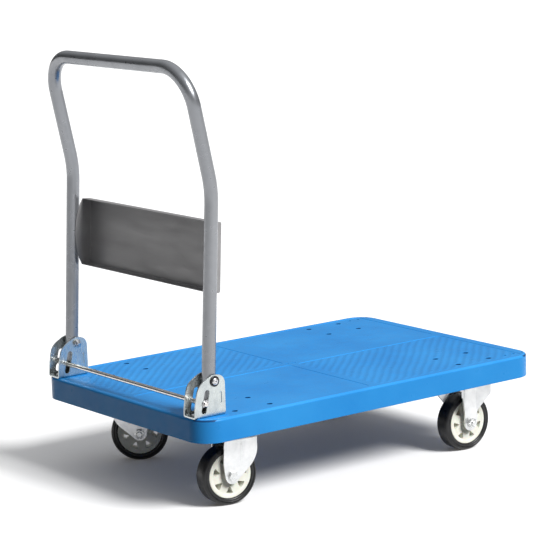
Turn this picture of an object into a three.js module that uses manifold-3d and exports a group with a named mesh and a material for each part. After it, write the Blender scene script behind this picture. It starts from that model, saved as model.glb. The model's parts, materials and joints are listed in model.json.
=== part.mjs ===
// Folding platform cart. Millimetres, +Z up.
// The origin is on the floor under the middle of the deck. X runs along the deck from
// the handle end (-X) to the far end (+X), and Y runs across it (near side -Y).
import * as THREE from 'three';
import { mergeVertices } from 'three/addons/utils/BufferGeometryUtils.js';
import Module from 'manifold-3d';

const wasm = await Module();
wasm.setup();

// ------------------------------------------------------------------ driving sizes

const GAP = 0.3; // clearance left between two pieces that touch
const RUNNING_CLEARANCE = 0.35; // radial clearance of a pin, bolt or axle in its hole

// wheels and axles
const WHEEL_DIAMETER = 125;
const TYRE_WIDTH = 36;
const TYRE_SHOULDER = 5;
const TYRE_THICKNESS = 14.2;
const RIM_THICKNESS = 5;
const RIM_INSET = 2.5; // how far the rim stands back from each tyre side
const HUB_WEB = 29; // thickness of the pierced web
const HUB_BOSS_RADIUS = 15;
const HUB_WINDOWS = 7;
const WINDOW_FROM_BOSS = 9; // from the boss out to a window's point
const WINDOW_FROM_RIM = 5; // from a window's base out to the rim
const WINDOW_SHARE = 0.5; // of the circle through the windows' bases
const WHEEL_SIDES = 32; // facets of the tyre and of the hub that fits in it
const AXLE_DIAMETER = 12;
const AXLE_NUT_HEIGHT = 9;
const AXLE_HEAD_HEIGHT = 6;
const AXLE_HEX_RADIUS = 10.6;
const THREAD_END = 3; // bolt length showing past a nut

// casters
const CASTER_INSET_X = 150; // caster axis from the deck's end
const CASTER_INSET_Y = 75; // caster axis from the deck's side
const PLATE_LENGTH = 110;
const PLATE_WIDTH = 96;
const PLATE_CORNER = 8;
const PLATE_THICKNESS = 4;
const HOLE_SPACING_X = 88;
const HOLE_SPACING_Y = 75;
const FORK_SHEET = 3;
const FORK_INNER_WIDTH = 47;
const FORK_END_RADIUS = 16; // rounded end of a leg around the axle
const CROWN_CLEARANCE = 14; // from the tyre up to the fork's crown
const CROWN_SHEET = 4;
const CROWN_FRONT = 30;
const CROWN_BACK = 54;
const RACE_HEIGHT = 10;
const RACE_RADIUS = 32;
const RACE_BORE_RADIUS = 13;
const SWIVEL_TRAIL = 40; // from the swivel axis back to the axle
const LEG_FRONT = 19; // how far a swivel leg reaches ahead of the swivel axis
const LEG_BULGE = 20; // how far it reaches behind the axle half way up
const CREASE_PLACE = 17; // pressed rib of the leg, behind the swivel axis
const CREASE_DEPTH = 1.2;
const FIXED_LEG_WIDTH = 35;
const GUSSET_REACH = 33; // flared flange beside a fixed leg, at its top
const GUSSET_DROP = 25; // how far its tip hangs below the plate
const GUSSET_START = 26; // its lowest point, above the axle
const GUSSET_ANGLE = THREE.MathUtils.degToRad(41);
const KINGPIN_DIAMETER = 12;
const KINGPIN_HEAD_RADIUS = 9.5;
const KINGPIN_HEAD_HEIGHT = 3.6;
const SWIVEL_HEADINGS = { near: 173.5, far: -36.9 }; // degrees, where each wheel trails at rest
const WHEEL_TURNS = { swivel_near: -16, swivel_far: 8, fixed_near: 19, fixed_far: 0 }; // degrees, at rest

// caster mounting screws
const MOUNT_DIAMETER = 8;
const MOUNT_HEX_RADIUS = 7.5;
const MOUNT_HEAD_HEIGHT = 5;
const MOUNT_GRIP = 25; // length inside the deck's boss

// deck
const DECK_LENGTH = 900;
const DECK_WIDTH = 600;
const DECK_SKIRT = 49;
const DECK_ABOVE_PLATE = 46; // deck top above the top of the caster plates
const DECK_CORNER = 50;
const DECK_EDGE = 6; // rounding of the top edge
const DECK_WALL = 4;
const DECK_SKIN = 5;
const RIB_THICKNESS = 3;
const RIB_LIFT = 10; // ribs end this far above the skirt's lower edge
const BOSS_RADIUS = 9;
const BRACKET_BOSS_DEPTH = 32;
const TREAD_DEPTH = 0.8; // the four tread fields lie this far below the border
const TREAD_BORDER_X = 28; // plain border at the deck's ends
const TREAD_BORDER_Y = 14; // plain border at its sides
const TREAD_BAND = 20; // plain cross bands between the fields
const TREAD_CORNER = 12;
const BRACKET_LAND = 4; // plain land left around each hinge bracket
const LASHING_HOLES = [15, 40, 65]; // from the far end
const LASHING_INSET_Y = 30;
const LASHING_DIAMETER = 5;
const LASHING_DEPTH = 3;

// handle
const HANDLE_TOP_HEIGHT = 911; // floor to the top of the top bar
const TUBE_DIAMETER = 28;
const TUBE_WALL = 1.5;
const HANDLE_LEAN = THREE.MathUtils.degToRad(3.6);
const LEG_INSET_Y = 46; // leg axis from the deck's side
const PIVOT_INSET_X = 50.5; // pivot axis from the deck's handle end
const PIVOT_HEIGHT = 71; // pivot axis above the deck
const LEG_BELOW_PIVOT = 40.5;
const KNEE_ABOVE_PIVOT = 381; // where the legs bend back, measured upwards
const KNEE_RADIUS = 220;
const TOP_BAR_INSET_X = 24; // top bar axis from the deck's handle end
const TOP_CORNER_RADIUS = 80;

// panel between the legs
const PANEL_ABOVE_PIVOT = 170.5;
const PANEL_HEIGHT = 143;
const PANEL_SHEET = 1.5;
const PANEL_FRONT = 0.5; // from the back of the tube to the flanges' front edges
const PANEL_DEPTH = 21.5;
const SADDLE_BULGE = 18; // how far the end tabs reach round the tube

// hinge brackets
const BRACKET_SHEET = 3;
const BRACKET_SIDE_CLEARANCE = 3; // from the tube to each cheek
const CHEEK_FRONT_INSET = 1; // from the deck's end
const CHEEK_BEHIND_PIVOT = 25.5;
const CHEEK_ABOVE_PIVOT = 13;
const STOP_HEIGHT = 46;
const STOP_CLEARANCE = 0.5;
const SLOT_TOP = { ahead: 18.5, above: 50 }; // slot ends: ahead of the pivot, above the deck
const SLOT_FOOT = { ahead: 27.5, above: 14 };
const SLOT_WIDTH = 12;
const PIVOT_DIAMETER = 10;
const PIVOT_HEAD_RADIUS = 11;
const PIVOT_HEAD_HEIGHT = 5;
const PIVOT_NUT_RADIUS = 8.6;
const PIVOT_NUT_HEIGHT = 6;
const BRACKET_SCREW_DIAMETER = 6;
const BRACKET_SCREW_HEAD_RADIUS = 5.6;
const BRACKET_SCREW_HEAD_HEIGHT = 3.5;
const BRACKET_SCREW_GRIP = 24;
const BRACKET_SCREW_AHEAD = [38, -3.5]; // ahead of the pivot

// foot bar that locks the handle, and its return springs
const BAR_DIAMETER = 10;
const BAR_REST_ABOVE = 28; // bar axis above the deck
const BAR_PROUD = 5; // bar end outside the outer cheek
const CLIP_THICKNESS = 1.2;
const CLIP_RADIUS = 8;
const GROOVE_DEPTH = 1.3;
const SPRING_RADIUS = 3.7;
const SPRING_WIRE = 1.4;
const SPRING_TURNS = 4;

// --------------------------------------------------------------- sizes that follow

const wheelRadius = WHEEL_DIAMETER / 2;
const crownUnder = WHEEL_DIAMETER + CROWN_CLEARANCE;
const crownTop = crownUnder + CROWN_SHEET;
const plateUnder = crownTop + RACE_HEIGHT;
const plateTop = plateUnder + PLATE_THICKNESS;
const deckTop = plateTop + DECK_ABOVE_PLATE;
const deckUnder = deckTop - DECK_SKIRT;
const casterX = DECK_LENGTH / 2 - CASTER_INSET_X;
const casterY = DECK_WIDTH / 2 - CASTER_INSET_Y;
const forkOuter = FORK_INNER_WIDTH / 2 + FORK_SHEET;
const axleHole = AXLE_DIAMETER / 2 + RUNNING_CLEARANCE;

const tubeRadius = TUBE_DIAMETER / 2;
const legY = DECK_WIDTH / 2 - LEG_INSET_Y;
const pivot = new THREE.Vector3(-DECK_LENGTH / 2 + PIVOT_INSET_X, 0, deckTop + PIVOT_HEIGHT);
const cheekInner = tubeRadius + BRACKET_SIDE_CLEARANCE; // from the leg axis
const cheekOuter = cheekInner + BRACKET_SHEET;
const barOuterFace = legY + cheekOuter;

// The bar's axis follows the middle line of the slots.
const slotSlope = (SLOT_FOOT.ahead - SLOT_TOP.ahead) / (SLOT_TOP.above - SLOT_FOOT.above);
const barAhead = SLOT_TOP.ahead + slotSlope * (SLOT_TOP.above - BAR_REST_ABOVE);
const barX = pivot.x - barAhead;
const barZ = deckTop + BAR_REST_ABOVE;

// ------------------------------------------------------------------------- tools

// A closed three.js geometry as a manifold solid.
function toSolid(geometry) {
  const bare = geometry.clone();
  bare.deleteAttribute('normal');
  bare.deleteAttribute('uv');
  const merged = mergeVertices(bare, 1e-4);
  return new wasm.Manifold(new wasm.Mesh({
    numProp: 3,
    vertProperties: new Float32Array(merged.attributes.position.array),
    triVerts: new Uint32Array(merged.index.array),
  }));
}

// A manifold solid as a three.js geometry.
function toGeometry(solid) {
  const mesh = solid.getMesh();
  const geometry = new THREE.BufferGeometry();
  geometry.setAttribute('position', new THREE.BufferAttribute(new Float32Array(mesh.vertProperties), 3));
  geometry.setIndex(new THREE.BufferAttribute(new Uint32Array(mesh.triVerts), 1));
  geometry.computeVertexNormals();
  return geometry;
}

// The first geometry with others joined to it and others cut from it.
function carve(base, joined = [], cut = []) {
  let solid = toSolid(base);
  for (const geometry of joined) {
    solid = solid.add(toSolid(geometry));
  }
  for (const geometry of cut) {
    solid = solid.subtract(toSolid(geometry));
  }
  return toGeometry(solid);
}

function block([x0, x1], [y0, y1], [z0, z1]) {
  const geometry = new THREE.BoxGeometry(x1 - x0, y1 - y0, z1 - z0);
  return geometry.translate((x0 + x1) / 2, (y0 + y1) / 2, (z0 + z1) / 2);
}

// A round or six-sided rod along Y.
function rodY(radius, [y0, y1], sides = 16, [x, z] = [0, 0]) {
  const geometry = new THREE.CylinderGeometry(radius, radius, y1 - y0, sides);
  return geometry.translate(x, (y0 + y1) / 2, z);
}

// A round or six-sided rod along Z.
function rodZ(radius, [z0, z1], sides = 16, [x, y] = [0, 0]) {
  const geometry = new THREE.CylinderGeometry(radius, radius, z1 - z0, sides);
  return geometry.rotateX(Math.PI / 2).translate(x, y, (z0 + z1) / 2);
}

// Cutters for round holes: the facets lie outside the given radius, so a pin of that
// radius stays clear of every facet.
function boreY(radius, span, sides = 12, place = [0, 0]) {
  return rodY(radius / Math.cos(Math.PI / sides), span, sides, place);
}

function boreZ(radius, span, sides = 12, place = [0, 0]) {
  return rodZ(radius / Math.cos(Math.PI / sides), span, sides, place);
}

// A turned piece around Y, from a closed list of [radius, y].
function turnedY(profile, sides) {
  const points = profile.map(([radius, y]) => new THREE.Vector2(radius, y));
  return new THREE.LatheGeometry(points, sides);
}

// A turned piece around Z, from a closed list of [radius, z].
function turnedZ(profile, sides) {
  return turnedY(profile, sides).rotateX(Math.PI / 2);
}

// A shape drawn in X and Y, standing from z0 to z1.
function slabZ(shape, [z0, z1], curveSegments = 6) {
  const options = { depth: z1 - z0, bevelEnabled: false, curveSegments };
  return new THREE.ExtrudeGeometry(shape, options).translate(0, 0, z0);
}

// A shape drawn in X and Z, reaching from y0 to y1.
function slabY(shape, [y0, y1], curveSegments = 5) {
  const options = { depth: y1 - y0, bevelEnabled: false, curveSegments };
  return new THREE.ExtrudeGeometry(shape, options).rotateX(Math.PI / 2).translate(0, y1, 0);
}

// A round hole in a shape, its facets outside the given radius.
function holePath(x, y, radius, sides = 12) {
  const reach = radius / Math.cos(Math.PI / sides);
  const points = [];
  for (let index = 0; index < sides; index += 1) {
    const angle = (2 * Math.PI * (index + 0.5)) / sides;
    points.push(new THREE.Vector2(x + reach * Math.cos(angle), y + reach * Math.sin(angle)));
  }
  return new THREE.Path(points);
}

function polygon(points) {
  return new THREE.Shape(points.map(([x, y]) => new THREE.Vector2(x, y)));
}

function roundedRectangle([x0, x1], [y0, y1], radius) {
  const shape = new THREE.Shape();
  shape.absarc(x1 - radius, y1 - radius, radius, 0, Math.PI / 2, false);
  shape.absarc(x0 + radius, y1 - radius, radius, Math.PI / 2, Math.PI, false);
  shape.absarc(x0 + radius, y0 + radius, radius, Math.PI, 1.5 * Math.PI, false);
  shape.absarc(x1 - radius, y0 + radius, radius, 1.5 * Math.PI, 2 * Math.PI, false);
  shape.closePath();
  return shape;
}

// A path through given stations, each with its own direction.
class StationPath extends THREE.Curve {
  constructor(stations) {
    super();
    this.stations = stations;
  }

  stationAt(t) {
    return this.stations[Math.round(t * (this.stations.length - 1))];
  }

  getPointAt(t, target = new THREE.Vector3()) {
    return target.copy(this.stationAt(t).point);
  }

  getTangentAt(t, target = new THREE.Vector3()) {
    return target.copy(this.stationAt(t).tangent);
  }
}

// Stations along straight runs joined by round bends: corners[i] has its bend radius.
function bentStations(corners, stepAngle) {
  const stations = [];
  const last = corners.length - 1;
  corners.forEach(({ point, radius }, index) => {
    if (index === 0 || index === last) {
      const other = corners[index === 0 ? 1 : last - 1].point;
      const along = index === 0 ? other.clone().sub(point) : point.clone().sub(other);
      stations.push({ point: point.clone(), tangent: along.normalize() });
      return;
    }
    const into = point.clone().sub(corners[index - 1].point).normalize();
    const out = corners[index + 1].point.clone().sub(point).normalize();
    const bend = into.angleTo(out);
    const start = point.clone().addScaledVector(into, -radius * Math.tan(bend / 2));
    const inward = out.clone().addScaledVector(into, -out.dot(into)).normalize();
    const steps = Math.ceil(bend / stepAngle);
    for (let step = 0; step <= steps; step += 1) {
      const angle = (bend * step) / steps;
      const place = start.clone()
        .addScaledVector(into, radius * Math.sin(angle))
        .addScaledVector(inward, radius * (1 - Math.cos(angle)));
      const tangent = into.clone().multiplyScalar(Math.cos(angle))
        .addScaledVector(inward, Math.sin(angle));
      stations.push({ point: place, tangent });
    }
  });
  return stations;
}

function sweep(section, stations, curveSegments) {
  const options = {
    steps: stations.length - 1,
    extrudePath: new StationPath(stations),
    bevelEnabled: false,
    curveSegments,
  };
  return new THREE.ExtrudeGeometry(section, options);
}

// --------------------------------------------------------------------- materials

function material(color, roughness, metalness) {
  return new THREE.MeshStandardMaterial({ color, roughness, metalness });
}

const materials = {
  deck: material(0x2f86d8, 0.3, 0),
  tube: material(0x9a9ea3, 0.4, 0.5),
  panel: material(0x77797b, 0.45, 0.5),
  zinc: material(0xc9cfd3, 0.3, 0.85),
  fork: material(0xe2e4e8, 0.35, 0.6),
  steel: material(0xa7a9ab, 0.35, 0.9),
  spring: material(0x8c8f92, 0.3, 0.9),
  hub: material(0xefeee4, 0.45, 0),
  tyre: material(0x17181a, 0.7, 0),
};

const cart = new THREE.Group();

function piece(name, geometry, finish, parent = cart) {
  const mesh = new THREE.Mesh(geometry, finish);
  mesh.name = name;
  parent.add(mesh);
  return mesh;
}

const SIDES = [['near', -1], ['far', 1]];

// -------------------------------------------------------------------------- deck

// The four mounting holes around a caster's axis.
function mountingPlaces(x, y) {
  const places = [];
  for (const alongX of [-1, 1]) {
    for (const alongY of [-1, 1]) {
      places.push([x + alongX * HOLE_SPACING_X / 2, y + alongY * HOLE_SPACING_Y / 2]);
    }
  }
  return places;
}

function casterPlaces() {
  return [-1, 1].flatMap((end) => SIDES.map(([side, sign]) => ({
    end, side, x: end * casterX, y: sign * casterY,
  })));
}

function bracketScrewPlaces(sign) {
  return BRACKET_SCREW_AHEAD.map((ahead) => [pivot.x - ahead, sign * legY]);
}

function deckGeometry() {
  const halfX = DECK_LENGTH / 2;
  const halfY = DECK_WIDTH / 2;
  const inner = deckTop - DECK_SKIN;

  // Outer body: rounded outline, rounded top edge, cut square at the skirt's edge.
  const inset = DECK_EDGE;
  const outline = roundedRectangle(
    [-halfX + inset, halfX - inset],
    [-halfY + inset, halfY - inset],
    DECK_CORNER - inset,
  );
  const height = DECK_SKIRT + DECK_EDGE;
  const body = new THREE.ExtrudeGeometry(outline, {
    depth: height - DECK_EDGE,
    bevelEnabled: true,
    bevelSize: DECK_EDGE,
    bevelThickness: DECK_EDGE,
    bevelSegments: 2,
    curveSegments: 6,
  }).translate(0, 0, deckTop - height);
  const below = block([-halfX - 1, halfX + 1], [-halfY - 1, halfY + 1], [deckUnder - 60, deckUnder]);
  const hollow = slabZ(
    roundedRectangle(
      [-halfX + DECK_WALL, halfX - DECK_WALL],
      [-halfY + DECK_WALL, halfY - DECK_WALL],
      DECK_CORNER - DECK_WALL,
    ),
    [deckUnder - 1, inner],
    6,
  );

  // Ribs under the skin, running through the lines of the mounting bosses.
  const ribs = [];
  const ribZ = [deckUnder + RIB_LIFT, inner + 1];
  const ribEndX = halfX - DECK_WALL + 1;
  const ribEndY = halfY - DECK_WALL + 1;
  const innerBossY = casterY - HOLE_SPACING_Y / 2;
  const bossLinesX = [casterX - HOLE_SPACING_X / 2, casterX + HOLE_SPACING_X / 2];
  const around = (middle) => [middle - RIB_THICKNESS / 2, middle + RIB_THICKNESS / 2];
  for (const y of [-innerBossY, 0, innerBossY]) {
    ribs.push(block([-ribEndX, ribEndX], around(y), ribZ));
  }
  for (const x of [0, ...bossLinesX, ...bossLinesX.map((line) => -line)]) {
    ribs.push(block(around(x), [-ribEndY, ribEndY], ribZ));
  }

  // Bosses and holes for the casters' screws and the brackets' screws.
  const bosses = [];
  const holes = [];
  for (const { x, y } of casterPlaces()) {
    for (const place of mountingPlaces(x, y)) {
      bosses.push(rodZ(BOSS_RADIUS, [plateTop + GAP, inner + 1], 8, place));
      holes.push(boreZ(MOUNT_DIAMETER / 2 + GAP, [plateTop - 1, deckTop + 1], 8, place));
    }
  }
  for (const [, sign] of SIDES) {
    for (const place of bracketScrewPlaces(sign)) {
      bosses.push(rodZ(BOSS_RADIUS, [deckTop - BRACKET_BOSS_DEPTH, inner + 1], 8, place));
      holes.push(boreZ(
        BRACKET_SCREW_DIAMETER / 2 + GAP,
        [deckTop - BRACKET_BOSS_DEPTH - 1, deckTop + 1],
        8,
        place,
      ));
    }
  }

  // Lashing holes near the far corners.
  for (const [, sign] of SIDES) {
    for (const fromEnd of LASHING_HOLES) {
      const place = [halfX - fromEnd, sign * (halfY - LASHING_INSET_Y)];
      holes.push(rodZ(LASHING_DIAMETER / 2, [deckTop - LASHING_DEPTH, deckTop + 1], 8, place));
    }
  }

  // Four shallow tread fields, with plain cross bands between them and a plain land
  // under each hinge bracket.
  const fieldsX = [
    [-halfX + TREAD_BORDER_X, -TREAD_BAND / 2],
    [TREAD_BAND / 2, halfX - TREAD_BORDER_X],
  ];
  const fieldsY = [
    [-halfY + TREAD_BORDER_Y, -TREAD_BAND / 2],
    [TREAD_BAND / 2, halfY - TREAD_BORDER_Y],
  ];
  const lands = SIDES.map(([, sign]) => block(
    [-halfX, pivot.x + CHEEK_BEHIND_PIVOT + BRACKET_LAND],
    [sign * legY - cheekOuter - BRACKET_LAND, sign * legY + cheekOuter + BRACKET_LAND],
    [deckTop - TREAD_DEPTH - 1, deckTop + 2],
  ));
  const fields = fieldsX.flatMap((spanX) => fieldsY.map((spanY) => carve(
    slabZ(roundedRectangle(spanX, spanY, TREAD_CORNER), [deckTop - TREAD_DEPTH, deckTop + 1], 3),
    [],
    lands,
  )));

  let shell = toSolid(body).subtract(toSolid(below)).subtract(toSolid(hollow));
  for (const geometry of [...ribs, ...bosses]) {
    shell = shell.add(toSolid(geometry));
  }
  for (const geometry of [...holes, ...fields]) {
    shell = shell.subtract(toSolid(geometry));
  }
  return toGeometry(shell);
}

piece('deck', deckGeometry(), materials.deck);

// ---------------------------------------------------------------- hinge brackets

// Cheek outline in X and Z: x measured from the pivot, z from the deck.
function cheekShape() {
  const front = -(PIVOT_INSET_X - CHEEK_FRONT_INSET);
  const back = CHEEK_BEHIND_PIVOT;
  const top = PIVOT_HEIGHT + CHEEK_ABOVE_PIVOT;
  const shoulder = { x: -20.5, z: PIVOT_HEIGHT + 5.5 };
  const brow = { x: front + 7, z: PIVOT_HEIGHT - 17 };
  const shape = new THREE.Shape();
  shape.moveTo(front, 0);
  shape.lineTo(back, 0);
  shape.lineTo(back, PIVOT_HEIGHT - 9);
  shape.quadraticCurveTo(back, top, 0, top);
  shape.quadraticCurveTo(-10.5, top - 1, shoulder.x, shoulder.z);
  shape.quadraticCurveTo(front + 11, PIVOT_HEIGHT - 3, brow.x, brow.z);
  shape.quadraticCurveTo(front, brow.z / 2, front, 0);
  shape.holes.push(holePath(0, PIVOT_HEIGHT, PIVOT_DIAMETER / 2 + RUNNING_CLEARANCE));
  shape.holes.push(slotPath());
  return shape;
}

// The slot that guides the foot bar, a slanted long hole.
function slotPath() {
  const top = new THREE.Vector2(-SLOT_TOP.ahead, SLOT_TOP.above);
  const foot = new THREE.Vector2(-SLOT_FOOT.ahead, SLOT_FOOT.above);
  const tilt = top.clone().sub(foot).angle() - Math.PI / 2;
  const radius = SLOT_WIDTH / 2;
  const path = new THREE.Path();
  path.absarc(top.x, top.y, radius, tilt, tilt + Math.PI, false);
  path.absarc(foot.x, foot.y, radius, tilt + Math.PI, tilt + 2 * Math.PI, false);
  path.closePath();
  return path;
}

function bracketGeometry() {
  const outer = slabY(cheekShape(), [cheekInner, cheekOuter]);
  const inner = slabY(cheekShape(), [-cheekOuter, -cheekInner]);
  const front = -(PIVOT_INSET_X - CHEEK_FRONT_INSET);
  const between = [-cheekInner - 1, cheekInner + 1];
  const base = block([front, CHEEK_BEHIND_PIVOT], between, [0, BRACKET_SHEET]);

  // The upright stop behind the leg, just clear of the leaning tube at its top.
  const stopRise = STOP_HEIGHT - PIVOT_HEIGHT;
  const tubeBack = stopRise * Math.tan(HANDLE_LEAN) + tubeRadius / Math.cos(HANDLE_LEAN);
  const stopFront = tubeBack + STOP_CLEARANCE;
  const stop = block([stopFront, stopFront + BRACKET_SHEET], between, [0, STOP_HEIGHT]);

  const screwHoles = BRACKET_SCREW_AHEAD.map((ahead) => boreZ(
    BRACKET_SCREW_DIAMETER / 2 + GAP,
    [-1, BRACKET_SHEET + 1],
    10,
    [-ahead, 0],
  ));
  return carve(base, [outer, inner, stop], screwHoles);
}

function bracketScrewGeometry() {
  const under = BRACKET_SHEET + 2 * GAP;
  return turnedZ([
    [0, under - BRACKET_SHEET - BRACKET_SCREW_GRIP],
    [BRACKET_SCREW_DIAMETER / 2, under - BRACKET_SHEET - BRACKET_SCREW_GRIP],
    [BRACKET_SCREW_DIAMETER / 2, under],
    [BRACKET_SCREW_HEAD_RADIUS, under],
    [BRACKET_SCREW_HEAD_RADIUS * 0.9, under + BRACKET_SCREW_HEAD_HEIGHT * 0.6],
    [BRACKET_SCREW_HEAD_RADIUS * 0.45, under + BRACKET_SCREW_HEAD_HEIGHT],
    [0, under + BRACKET_SCREW_HEAD_HEIGHT],
  ], 12);
}

// Pivot bolt around Y with its domed head outside; sign is the side of the cart.
function pivotBoltGeometry(sign) {
  const under = cheekOuter + GAP;
  const end = -(cheekOuter + GAP + PIVOT_NUT_HEIGHT + THREAD_END);
  const geometry = turnedY([
    [0, end],
    [PIVOT_DIAMETER / 2, end],
    [PIVOT_DIAMETER / 2, under],
    [PIVOT_HEAD_RADIUS, under],
    [PIVOT_HEAD_RADIUS * 0.93, under + PIVOT_HEAD_HEIGHT * 0.5],
    [PIVOT_HEAD_RADIUS * 0.6, under + PIVOT_HEAD_HEIGHT],
    [0, under + PIVOT_HEAD_HEIGHT],
  ], 16);
  return sign > 0 ? geometry : geometry.rotateZ(Math.PI);
}

function pivotNutGeometry(sign) {
  const face = cheekOuter + GAP;
  const span = sign > 0 ? [-face - PIVOT_NUT_HEIGHT, -face] : [face, face + PIVOT_NUT_HEIGHT];
  const bore = boreY(PIVOT_DIAMETER / 2 + GAP, [span[0] - 1, span[1] + 1]);
  return carve(rodY(PIVOT_NUT_RADIUS, span, 6), [], [bore]);
}

const bracket = bracketGeometry();
const bracketScrew = bracketScrewGeometry();
for (const [side, sign] of SIDES) {
  const base = piece(`hinge_bracket_${side}`, bracket, materials.zinc);
  base.position.set(pivot.x, sign * legY, deckTop + GAP);
  const ends = ['front', 'rear'];
  bracketScrewPlaces(sign).forEach(([x, y], index) => {
    const screw = piece(`bracket_screw_${side}_${ends[index]}`, bracketScrew, materials.steel);
    screw.position.set(x, y, deckTop + GAP);
  });
  const bolt = piece(`pivot_bolt_${side}`, pivotBoltGeometry(sign), materials.steel);
  bolt.position.set(pivot.x, sign * legY, pivot.z + GAP);
  const nut = piece(`pivot_nut_${side}`, pivotNutGeometry(sign), materials.steel);
  nut.position.set(pivot.x, sign * legY, pivot.z + GAP);
}

// ------------------------------------------------------------------------ handle

// One tube: up one leg, across the top bar and down the other leg.
function handleTubeGeometry() {
  const along = new THREE.Vector3(Math.sin(HANDLE_LEAN), 0, Math.cos(HANDLE_LEAN));
  const foot = pivot.clone().addScaledVector(along, -LEG_BELOW_PIVOT);
  const knee = pivot.clone().addScaledVector(along, KNEE_ABOVE_PIVOT);
  const top = new THREE.Vector3(
    -DECK_LENGTH / 2 + TOP_BAR_INSET_X,
    0,
    HANDLE_TOP_HEIGHT - tubeRadius,
  );
  const onSide = (point, sign) => new THREE.Vector3(point.x, sign * legY, point.z + GAP);
  const corners = [
    { point: onSide(foot, -1), radius: 0 },
    { point: onSide(knee, -1), radius: KNEE_RADIUS },
    { point: onSide(top, -1), radius: TOP_CORNER_RADIUS },
    { point: onSide(top, 1), radius: TOP_CORNER_RADIUS },
    { point: onSide(knee, 1), radius: KNEE_RADIUS },
    { point: onSide(foot, 1), radius: 0 },
  ];
  const section = new THREE.Shape().absarc(0, 0, tubeRadius, 0, 2 * Math.PI, false);
  section.holes.push(new THREE.Path().absarc(0, 0, tubeRadius - TUBE_WALL, 0, 2 * Math.PI, false));
  const tube = sweep(section, bentStations(corners, THREE.MathUtils.degToRad(15)), 6);
  const holeRadius = PIVOT_DIAMETER / 2 + RUNNING_CLEARANCE;
  const reach = legY + tubeRadius + 1;
  const hole = boreY(holeRadius, [-reach, reach], 12, [pivot.x, pivot.z + GAP]);
  return carve(tube, [], [hole]);
}

// Pressed pan between the legs, open towards the handle end. Its end tabs bulge
// forwards and lie along the inner sides of the legs.
function panelGeometry() {
  const front = tubeRadius + PANEL_FRONT;
  const back = front + PANEL_DEPTH;
  const top = PANEL_HEIGHT;
  const section = polygon([
    [front, 0],
    [back, 0],
    [back, top],
    [front, top],
    [front, top - PANEL_SHEET],
    [back - PANEL_SHEET, top - PANEL_SHEET],
    [back - PANEL_SHEET, PANEL_SHEET],
    [front, PANEL_SHEET],
  ]);
  const end = legY - tubeRadius - GAP;
  const pan = slabY(section, [-end, end]);
  const tab = new THREE.Shape();
  tab.moveTo(back, 0);
  tab.lineTo(back, top);
  tab.lineTo(front, top);
  tab.bezierCurveTo(front - SADDLE_BULGE * 1.33, top * 0.72, front - SADDLE_BULGE * 1.33, top * 0.28, front, 0);
  tab.closePath();
  const tabs = [
    slabY(tab, [end - PANEL_SHEET, end], 10),
    slabY(tab, [-end, -end + PANEL_SHEET], 10),
  ];
  return carve(pan, tabs).translate(0, 0, PANEL_ABOVE_PIVOT);
}

piece('handle_tube', handleTubeGeometry(), materials.tube);
const panel = piece('handle_panel', panelGeometry(), materials.panel);
panel.position.set(pivot.x, 0, pivot.z + GAP);
panel.rotation.y = HANDLE_LEAN;

// ---------------------------------------------------------------------- foot bar

function footBarGeometry() {
  const radius = BAR_DIAMETER / 2;
  const neck = radius - GROOVE_DEPTH;
  const grooveInner = barOuterFace + GAP;
  const grooveOuter = grooveInner + CLIP_THICKNESS + 2 * GAP;
  const end = barOuterFace + BAR_PROUD;
  return turnedY([
    [0, -end],
    [radius - 1, -end],
    [radius, -end + 1],
    [radius, -grooveOuter],
    [neck, -grooveOuter],
    [neck, -grooveInner],
    [radius, -grooveInner],
    [radius, grooveInner],
    [neck, grooveInner],
    [neck, grooveOuter],
    [radius, grooveOuter],
    [radius, end - 1],
    [radius - 1, end],
    [0, end],
  ], 12);
}

// Open retaining ring that sits in the bar's groove.
function clipGeometry() {
  const bore = BAR_DIAMETER / 2 - GROOVE_DEPTH + GAP;
  const mouth = Math.PI / 5;
  const shape = new THREE.Shape();
  shape.absarc(0, 0, CLIP_RADIUS, -Math.PI / 2 + mouth, 1.5 * Math.PI - mouth, false);
  shape.absarc(0, 0, bore, 1.5 * Math.PI - mouth, -Math.PI / 2 + mouth, true);
  shape.closePath();
  return slabY(shape, [-CLIP_THICKNESS / 2, CLIP_THICKNESS / 2], 8);
}

// Compression spring standing on the bracket's base, under the bar.
function springGeometry(height) {
  const rise = height - SPRING_WIRE;
  const steps = SPRING_TURNS * 10;
  const stations = [];
  for (let step = 0; step <= steps; step += 1) {
    const angle = (2 * Math.PI * SPRING_TURNS * step) / steps;
    const point = new THREE.Vector3(
      SPRING_RADIUS * Math.cos(angle),
      SPRING_RADIUS * Math.sin(angle),
      SPRING_WIRE / 2 + (rise * step) / steps,
    );
    const climb = rise / (2 * Math.PI * SPRING_TURNS);
    const tangent = new THREE.Vector3(
      -SPRING_RADIUS * Math.sin(angle),
      SPRING_RADIUS * Math.cos(angle),
      climb,
    ).normalize();
    stations.push({ point, tangent });
  }
  const section = new THREE.Shape().absarc(0, 0, SPRING_WIRE / 2, 0, 2 * Math.PI, false);
  return sweep(section, stations, 3);
}

const bar = piece('foot_bar', footBarGeometry(), materials.steel);
bar.position.set(barX, 0, barZ + GAP);
const clip = clipGeometry();
const springFoot = deckTop + GAP + BRACKET_SHEET + GAP;
const springHeight = barZ + GAP - BAR_DIAMETER / 2 - GAP - springFoot;
const spring = springGeometry(springHeight);
for (const [side, sign] of SIDES) {
  const ring = piece(`bar_clip_${side}`, clip, materials.steel);
  ring.position.set(barX, sign * (barOuterFace + 2 * GAP + CLIP_THICKNESS / 2), barZ + GAP);
  const coil = piece(`return_spring_${side}`, spring, materials.spring);
  coil.position.set(barX, sign * legY, springFoot);
}

// ------------------------------------------------------------------------ wheels

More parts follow.
